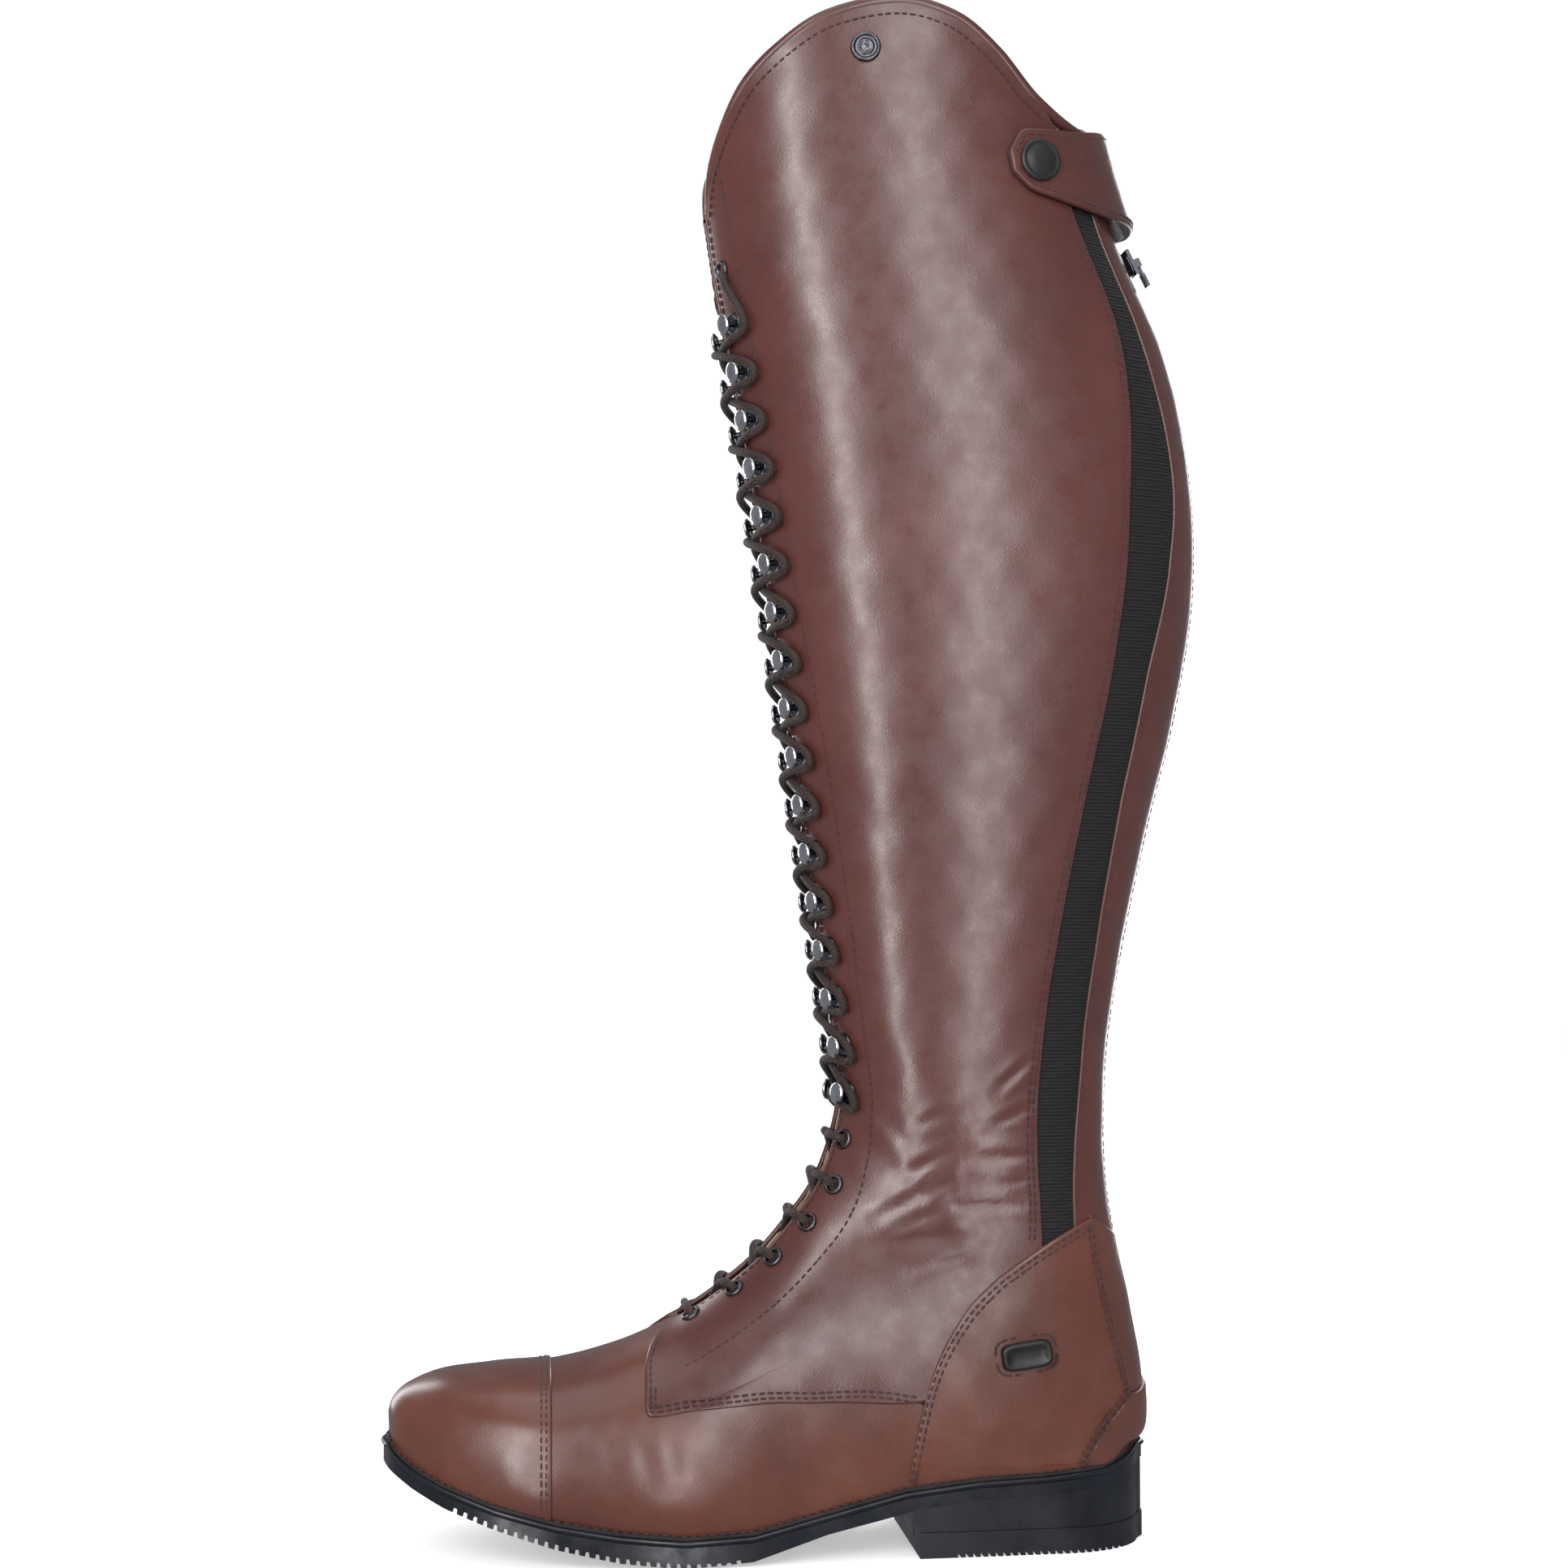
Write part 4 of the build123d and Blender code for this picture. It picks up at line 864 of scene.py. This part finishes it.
def lace_strand(first_side):
    """Route points of one strand, from the bottom bar up to its top eyelet."""
    points = []
    side = first_side
    deep = first_side < 0
    for i, (t, angle) in enumerate(EYELETS):
        points.append(lifted(t, side * angle, 3.3))
        points.append(lifted(t + 0.01, side * (angle - 0.1), LACE_UNDER))
        step = (EYELETS[i + 1][0] if i + 1 < len(EYELETS) else HOOKS[0][0]) - t
        points.append(lifted(t + 0.25 * step, side * (facing_angle(t + 0.25 * step) - 1.5), LACE_UNDER))
        points.append(lifted(t + 0.5 * step, 0, LACE_UNDER if deep else -2.2))
        side = -side
        points.append(lifted(t + 0.78 * step, side * (facing_angle(t + 0.78 * step) - 3.0), 2.2))
    t, angle = HOOKS[0]
    points.append(lifted(t - 0.3 * (HOOKS[1][0] - t), side * (angle - 2), 3.0))
    for i, (t, angle) in enumerate(HOOKS):
        out = angle + 8.0
        gap = (HOOKS[1][0] - HOOKS[0][0]) if i == 0 else (t - HOOKS[i - 1][0])
        points.append(lifted(t - 0.16 * gap, side * out, 2.8))
        points.append(lifted(t + 0.16 * gap, side * out, 2.8))
        if i + 1 < len(HOOKS):
            middle = (t + HOOKS[i + 1][0]) / 2
            points.append(lifted(middle - 0.17 * gap, side * 0.5 * out, 3.0 if deep else 3.9))
            points.append(lifted(middle, 0, 2.0 if deep else 5.4))
            side = -side
            points.append(lifted(middle + 0.17 * gap, side * 0.5 * out, 3.0 if deep else 3.9))
    points.append(lifted(TOP_EYELET[0], side * TOP_EYELET[1], 3.2))
    points.append(lifted(TOP_EYELET[0], side * TOP_EYELET[1], -5.2))
    return points


def make_lace():
    route = lace_strand(-1)[::-1] + lace_strand(1)
    curve = bpy.data.curves.new("lace_run", "CURVE")
    curve.dimensions = "3D"
    curve.resolution_u = 6
    curve.bevel_depth = 1.5 * MM
    curve.bevel_resolution = 4
    curve.use_fill_caps = True
    spline = curve.splines.new("NURBS")
    spline.points.add(len(route) - 1)
    for point, p in zip(spline.points, route):
        point.co = (*(p * MM), 1.0)
    spline.order_u = 3
    spline.use_endpoint_u = True
    curve.materials.append(lace_cord)
    return show(new_object("lace_run", curve), "lace_cord", "lace")


make_lace()

BADGE = lathe([(0, 0.0), (5.3, 0.0), (5.4, 0.7), (5.1, 1.35), (4.6, 1.5), (4.15, 1.2), (4.0, 0.8),
               (2.9, 0.85), (2.7, 1.2), (2.3, 1.25), (2.0, 0.95), (0.9, 0.95), (0.6, 1.15), (0, 1.2)], 48)
show(merge("badge_rivet", [placed(BADGE, 28.44, -74, 0.1)], gunmetal), "dark_metal", "badge")
STUD = lathe([(0, 0.0), (5.0, 0.0), (5.0, 0.4), (3.6, 0.6), (3.4, 1.6), (3.2, 2.3), (0, 2.4)])
show(merge("snap_stud_skin", [placed(STUD, *SNAP_AT, 0.05)], gunmetal), "dark_metal", "snap_stud")


SPUR_STATION, SPUR_ANGLE, SPUR_TILT = 12.92, 98, math.radians(8)


def spur_axes(side):
    """Ahead, up and outward directions of a spur rest."""
    n = normal(SPUR_STATION, side * SPUR_ANGLE)
    ahead = unit(np.array([math.cos(SPUR_TILT), 0, math.sin(SPUR_TILT)]) - n * n[0])
    return np.stack([ahead, np.cross(n, ahead), n])


def spur_rest(side):
    """Rounded rubber block with a raised rim and a shallow hollow."""
    verts = []
    profile = [(0.0, 0.0), (0.1, 1.6), (0.5, 2.3), (1.1, 2.6), (1.8, 2.4), (2.6, 1.9), (4.4, 1.8)]
    count = 64
    for inset, h in profile:
        for k in range(count):
            w = 2 * math.pi * k / count
            cx, cz = math.cos(w), math.sin(w)
            half_l, half_h = 9.2 - inset, 4.9 - inset * 0.98
            x = half_l * math.copysign(abs(cx) ** 0.45, cx)
            z = max(half_h, 0.2) * math.copysign(abs(cz) ** 0.45, cz)
            verts.append((x, z, h))
    faces = ring_walls(len(profile), count)
    faces.append(tuple(range((len(profile) - 1) * count, len(profile) * count)))
    return lifted(SPUR_STATION, side * SPUR_ANGLE, 1.3) + np.array(verts) @ spur_axes(side), faces


for side in (-1, 1):
    show(merge("spur_rest_skin_" + side_word(side), [spur_rest(side)], spur_rubber), "rubber",
         "spur_rest_" + side_word(side))


def spur_stitches(side):
    """Oval of stitches round a spur rest."""
    half_long, half_high = 11.0, 6.6
    middle = lifted(SPUR_STATION, side * SPUR_ANGLE, 1.15)
    pieces = []
    count = 20
    for k in range(count):
        w = 2 * math.pi * (k + 0.5) / count
        cx, cz = math.cos(w), math.sin(w)
        spot = np.array([half_long * math.copysign(abs(cx) ** 0.55, cx),
                         half_high * math.copysign(abs(cz) ** 0.55, cz), 0.0])
        run = unit(np.array([-half_long * cz, half_high * cx, 0.0]))
        local = spot + BEAD[0] @ np.stack([run, np.cross(Z_AXIS, run), Z_AXIS])
        pieces.append((middle + local @ spur_axes(side), BEAD[1]))
    return pieces


show(merge("spur_stitching", spur_stitches(-1) + spur_stitches(1), thread), "lace_cord")

# ---------------------------------------------------------------- strap and snap cap
STRAP_HEIGHT = 3.5
STRAP_TOP = [(27.45, 111), (27.66, 116), (27.7, 122), (27.75, 140), (27.88, 165), (27.92, 190), (27.9, 212)]
STRAP_LOW = [(27.25, 111), (27.1, 116), (27.05, 124), (27.0, 140), (27.0, 165), (27.0, 190), (27.2, 212)]


def flare(t, phi):
    """How far the strap stands away over the zip, most along its lower edge."""
    from_back = 180 - np.abs((phi + 180) % 360 - 180)
    near_back = np.exp(-(from_back / 26.0) ** 2)
    down = np.clip(27.95 - t, 0, 1)
    return 5.4 * near_back * (0.35 + 0.65 * down)


strap_low, strap_top = edge_line(STRAP_LOW, -1), edge_line(STRAP_TOP, -1)
obj = panel("strap_skin", straight((27.25, -111), (27.45, -111)), straight((27.2, -212), (27.9, -212)),
            strap_low, strap_top, shaft_leather,
            height=lambda t, a, dl, dr, db, dt: STRAP_HEIGHT + flare(t, a), step=1.0, thick=2.1,
            edge=0.9, body="strap")
show(obj, "brown_leather", "strap")
rows = (stitch_row(strap_low, 2.2, STRAP_HEIGHT, lift=flare)
        + stitch_row(strap_top, -2.2, STRAP_HEIGHT, lift=flare))
show(merge("strap_stitching", rows, thread, "strap"), "lace_cord")
CAP = lathe([(0, 3.6), (7.3, 3.6), (7.75, 4.1), (7.7, 4.7), (7.2, 5.15), (6.5, 5.2), (6.1, 4.95), (5.5, 5.1),
             (4.2, 5.6), (2.2, 5.95), (0, 6.05)], 56)
show(merge("snap_cap_skin", [placed(CAP, *SNAP_AT, 0.0)], cap_black, "strap"), "black_plastic", "snap_cap")

# ---------------------------------------------------------------- zip
teeth = []
TOOTH = bead(2.6, 0.95, 0.5)
for k, t in enumerate(np.arange(17.15, 27.7, 0.035)):
    for side in (-1, 1):
        if (k + (side > 0)) % 2:
            continue
        p = lifted(t, 180.0, -0.55) + side * 1.1 * Y_AXIS
        n = normal(t, 180.0)
        axes = np.stack([Y_AXIS, np.cross(n, Y_AXIS), n])
        teeth.append((p + TOOTH[0] @ axes, TOOTH[1]))
show(merge("zip_teeth", teeth, zip_nylon), "zip_nylon", "zip_coil_lateral", "zip_coil_medial")
for side in (-1, 1):
    strip = panel("zip_tape_skin_" + side_word(side),
                  edge_line([(17.1, 162), (20, 162), (24, 164), (27.75, 164)], side),
                  edge_line([(17.1, 178.6), (20, 178.6), (24, 178.6), (27.75, 178.6)], side),
                  straight((17.1, side * 162), (17.1, side * 178.6)),
                  straight((27.75, side * 164), (27.75, side * 178.6)), zip_tape,
                  height=-1.75, thick=0.8, step=2.0, sides="")
    show(strip, "zip_fabric", "zip_tape_" + side_word(side))

CALF_CENTRE, CALF_RADIUS = np.array([-92.3, 0.0, 359.0]), 240.2
SLIDER_RISE = 107.0


def slider_core():
    """Wedge under the slider's plate that holds the two coils together."""
    steep = SLIDER_RISE / CALF_RADIUS
    out = unit(np.array([math.sqrt(1 - steep ** 2), 0.0, steep]))
    along = np.array([-out[2], 0.0, out[0]])
    origin = CALF_CENTRE + out * CALF_RADIUS
    count = 24
    loops = ((0.5, 1.5, 3.4), (1.2, 1.9, 4.3), (2.4, 2.6, 4.7), (3.1, 3.3, 4.6))
    verts = []
    for h, half_width, half_length in loops:
        for k in range(count):
            w = 2 * math.pi * k / count
            y = half_width * math.copysign(abs(math.cos(w)) ** 0.6, math.cos(w))
            z = half_length * math.copysign(abs(math.sin(w)) ** 0.6, math.sin(w))
            verts.append(origin + out * h + Y_AXIS * y + along * z)
    last = (len(loops) - 1) * count
    faces = ring_walls(len(loops), count) + [tuple(range(count))[::-1], tuple(range(last, last + count))]
    return mesh_from("slider_core", verts, faces, gunmetal, "slider")


show(slider_core(), "dark_metal")

# ---------------------------------------------------------------- sole
OUTLINE_AT = [0.0, 0.5, 1, 2, 3, 4, 5, 6, 7, 8, 9, 10, 11, 12, 12.7, 13.3, 13.7]


def plan_ring(offset, count=361):
    """Closed outline of the sole in plan, from heel round the toe and back, grown by an offset."""
    lateral = [skin(t, -end_angle(t)) for t in OUTLINE_AT[::-1]]
    medial = [skin(t, end_angle(t)) for t in OUTLINE_AT[1:]]
    ring = np.array([skin(14.0, 180.0)] + lateral + medial + [skin(14.0, 180.0)])[:, :2]
    outward = np.roll(ring, -1, axis=0) - np.roll(ring, 1, axis=0)
    outward[0] = outward[-1] = ring[1] - ring[-2]
    outward = unit(np.stack([-outward[:, 1], outward[:, 0]], axis=1))
    if (outward * (ring - [-10.0, 0.0])).sum() < 0:
        outward = -outward
    ring = ring + outward * offset
    wrapped = np.concatenate([ring[-3:-1], ring, ring[1:3]])
    run = distance_run(ring)
    places = np.interp(np.linspace(0, run[-1], count), run, np.arange(len(ring)))
    return hermite(wrapped, places + 2)[:-1]


def feather_z(x):
    return np.interp(x, TABLE[:15, 2], TABLE[:15, 3])


def ring_band(name, profile, material):
    """Band round the sole: (offset, height) pairs swept along the outline."""
    loops = []
    for offset, h in profile:
        ring = plan_ring(offset)
        loops.append(np.column_stack([ring, feather_z(ring[:, 0]) + h]))
    count = len(loops[0])
    faces = []
    for j in range(len(loops)):
        k = (j + 1) % len(loops)
        for i in range(count):
            m = (i + 1) % count
            faces.append((j * count + i, j * count + m, k * count + m, k * count + i))
    return mesh_from(name, np.concatenate(loops), faces, material)


WELT = [(-5.4, -0.2), (0.9, -0.1), (1.5, -0.35), (1.75, -0.8), (1.75, -1.3), (1.5, -1.7), (-5.4, -1.7)]
welt = ring_band("welt_skin", WELT, welt_edge)
show(welt, "welt_leather", "welt")
RIM = [(-5.0, -1.6), (1.6, -1.5), (2.4, -1.55), (2.95, -1.85), (3.1, -2.35), (2.95, -2.9), (2.5, -3.3),
       (2.25, -3.7), (-5.0, -3.7)]
rim = ring_band("sole_rim", RIM, sole_rubber)
show(rim, "rubber")


def welt_stitches():
    """Stitches in the groove along the top of the welt."""
    ring = plan_ring(0.75, 1441)
    line = np.column_stack([ring, feather_z(ring[:, 0]) - 0.1])
    run = distance_run(line)
    pieces = []
    for d in np.arange(2.0, run[-1] - 2.0, 3.4):
        i = int(np.searchsorted(run, d))
        along = unit(line[(i + 1) % len(line)] - line[i - 1])
        out = unit(np.cross(along, [0.0, 0.0, 1.0]))
        pieces.append((line[i] + BEAD[0] @ np.stack([along, -out, np.cross(along, -out)]), BEAD[1]))
    return pieces


show(merge("welt_stitching", welt_stitches(), thread), "lace_cord")

# ---------------------------------------------------------------- carried-over nodes
CAD_LOOK = {
    "outsole": sole_rubber, "heel_block": heel_rubber, "heel_top_lift": heel_rubber,
    "toe_puff": board, "facing_stay_lateral": board, "facing_stay_medial": board, "heel_stiffener": board,
    "insole_board": board, "steel_shank": gunmetal, "cork_filler": board, "footbed": footbed_cloth,
    "zip_top_stop_lateral": gunmetal, "zip_top_stop_medial": gunmetal, "zip_bottom_stop": gunmetal,
    "zip_slider": gunmetal, "zip_pull": gunmetal,
}
for name, material in CAD_LOOK.items():
    obj = nodes[name]
    if not obj.material_slots:
        obj.data.materials.append(material)
    for slot in obj.material_slots:
        slot.material = material
for name, width in (("outsole", 0.5), ("heel_block", 0.5), ("heel_top_lift", 0.4), ("zip_slider", 0.3),
                    ("zip_pull", 0.25)):
    bevel = nodes[name].modifiers.new("soft_edges", "BEVEL")
    bevel.width = width * MM
    bevel.segments = 2
    bevel.limit_method = "ANGLE"
    bevel.angle_limit = math.radians(40)

# ---------------------------------------------------------------- stage, light and camera
paper = Nodes("paper_floor")
paper_tone = paper.ramp(paper.noise(3.0, 2.0), [(0.3, (0.80, 0.80, 0.805)), (0.7, (0.83, 0.83, 0.835))])
paper.finish(paper_tone, 0.8, None, Emission_Color=(1.0, 1.0, 1.0, 1.0), Emission_Strength=0.42,
             Specular_IOR_Level=0.1)


def make_stage():
    """Round floor whose rim sweeps up into a backdrop on all sides."""
    profile = [(1.0, 0.0), (2.4, 0.0), (3.0, 0.05), (3.5, 0.22), (3.9, 0.55), (4.15, 1.0), (4.3, 1.7),
               (4.35, 4.0)]
    count = 96
    turns = [2 * math.pi * k / count for k in range(count)]
    verts = [(r * math.cos(w) / MM, r * math.sin(w) / MM, z / MM) for r, z in profile for w in turns]
    faces = [tuple(range(count))]
    for i in range(len(profile) - 1):
        for k in range(count):
            m = (k + 1) % count
            faces.append((i * count + k, (i + 1) * count + k, (i + 1) * count + m, i * count + m))
    floor = mesh_from("studio_floor", verts, faces, paper.mat, None)
    floor.visible_glossy = False


make_stage()


def aim(obj, target):
    direction = Vector(target) - obj.location
    obj.rotation_euler = direction.to_track_quat("-Z", "Y").to_euler()


def softbox(name, location, target, width, height, power):
    light = bpy.data.lights.new(name, "AREA")
    light.shape = "RECTANGLE"
    light.size, light.size_y = width, height
    light.energy = power
    obj = bpy.data.objects.new(name, light)
    bpy.context.scene.collection.objects.link(obj)
    obj.location = location
    aim(obj, target)


softbox("left_strip", (-0.84, -1.27, 0.5), (0.0, 0.0, 0.3), 0.20, 1.9, 21)
softbox("front_strip", (0.13, -1.52, 0.5), (0.02, 0.0, 0.3), 0.26, 1.9, 15)
softbox("overhead", (0.0, -0.2, 2.0), (0.0, 0.0, 0.0), 1.6, 1.6, 12)
softbox("back_left", (-0.9, 1.4, 0.7), (0.0, 0.0, 0.3), 0.35, 1.4, 7)
softbox("back_right", (0.7, 1.4, 0.7), (0.0, 0.0, 0.3), 0.35, 1.4, 7)

world = bpy.data.worlds.new("studio")
world.use_nodes = True
background = world.node_tree.nodes["Background"]
background.inputs["Color"].default_value = (0.80, 0.82, 0.88, 1.0)
background.inputs["Strength"].default_value = 0.28
bpy.context.scene.world = world
bpy.context.scene.view_settings.view_transform = "Standard"

camera_data = bpy.data.cameras.new("camera")
camera_data.sensor_width = 36.0
camera_data.lens = 66.4
camera = bpy.data.objects.new("camera", camera_data)
bpy.context.scene.collection.objects.link(camera)
camera.location = (-0.1006, -1.050, 0.2175)
aim(camera, (-0.0036, 0.0, 0.2728))
bpy.context.scene.camera = camera
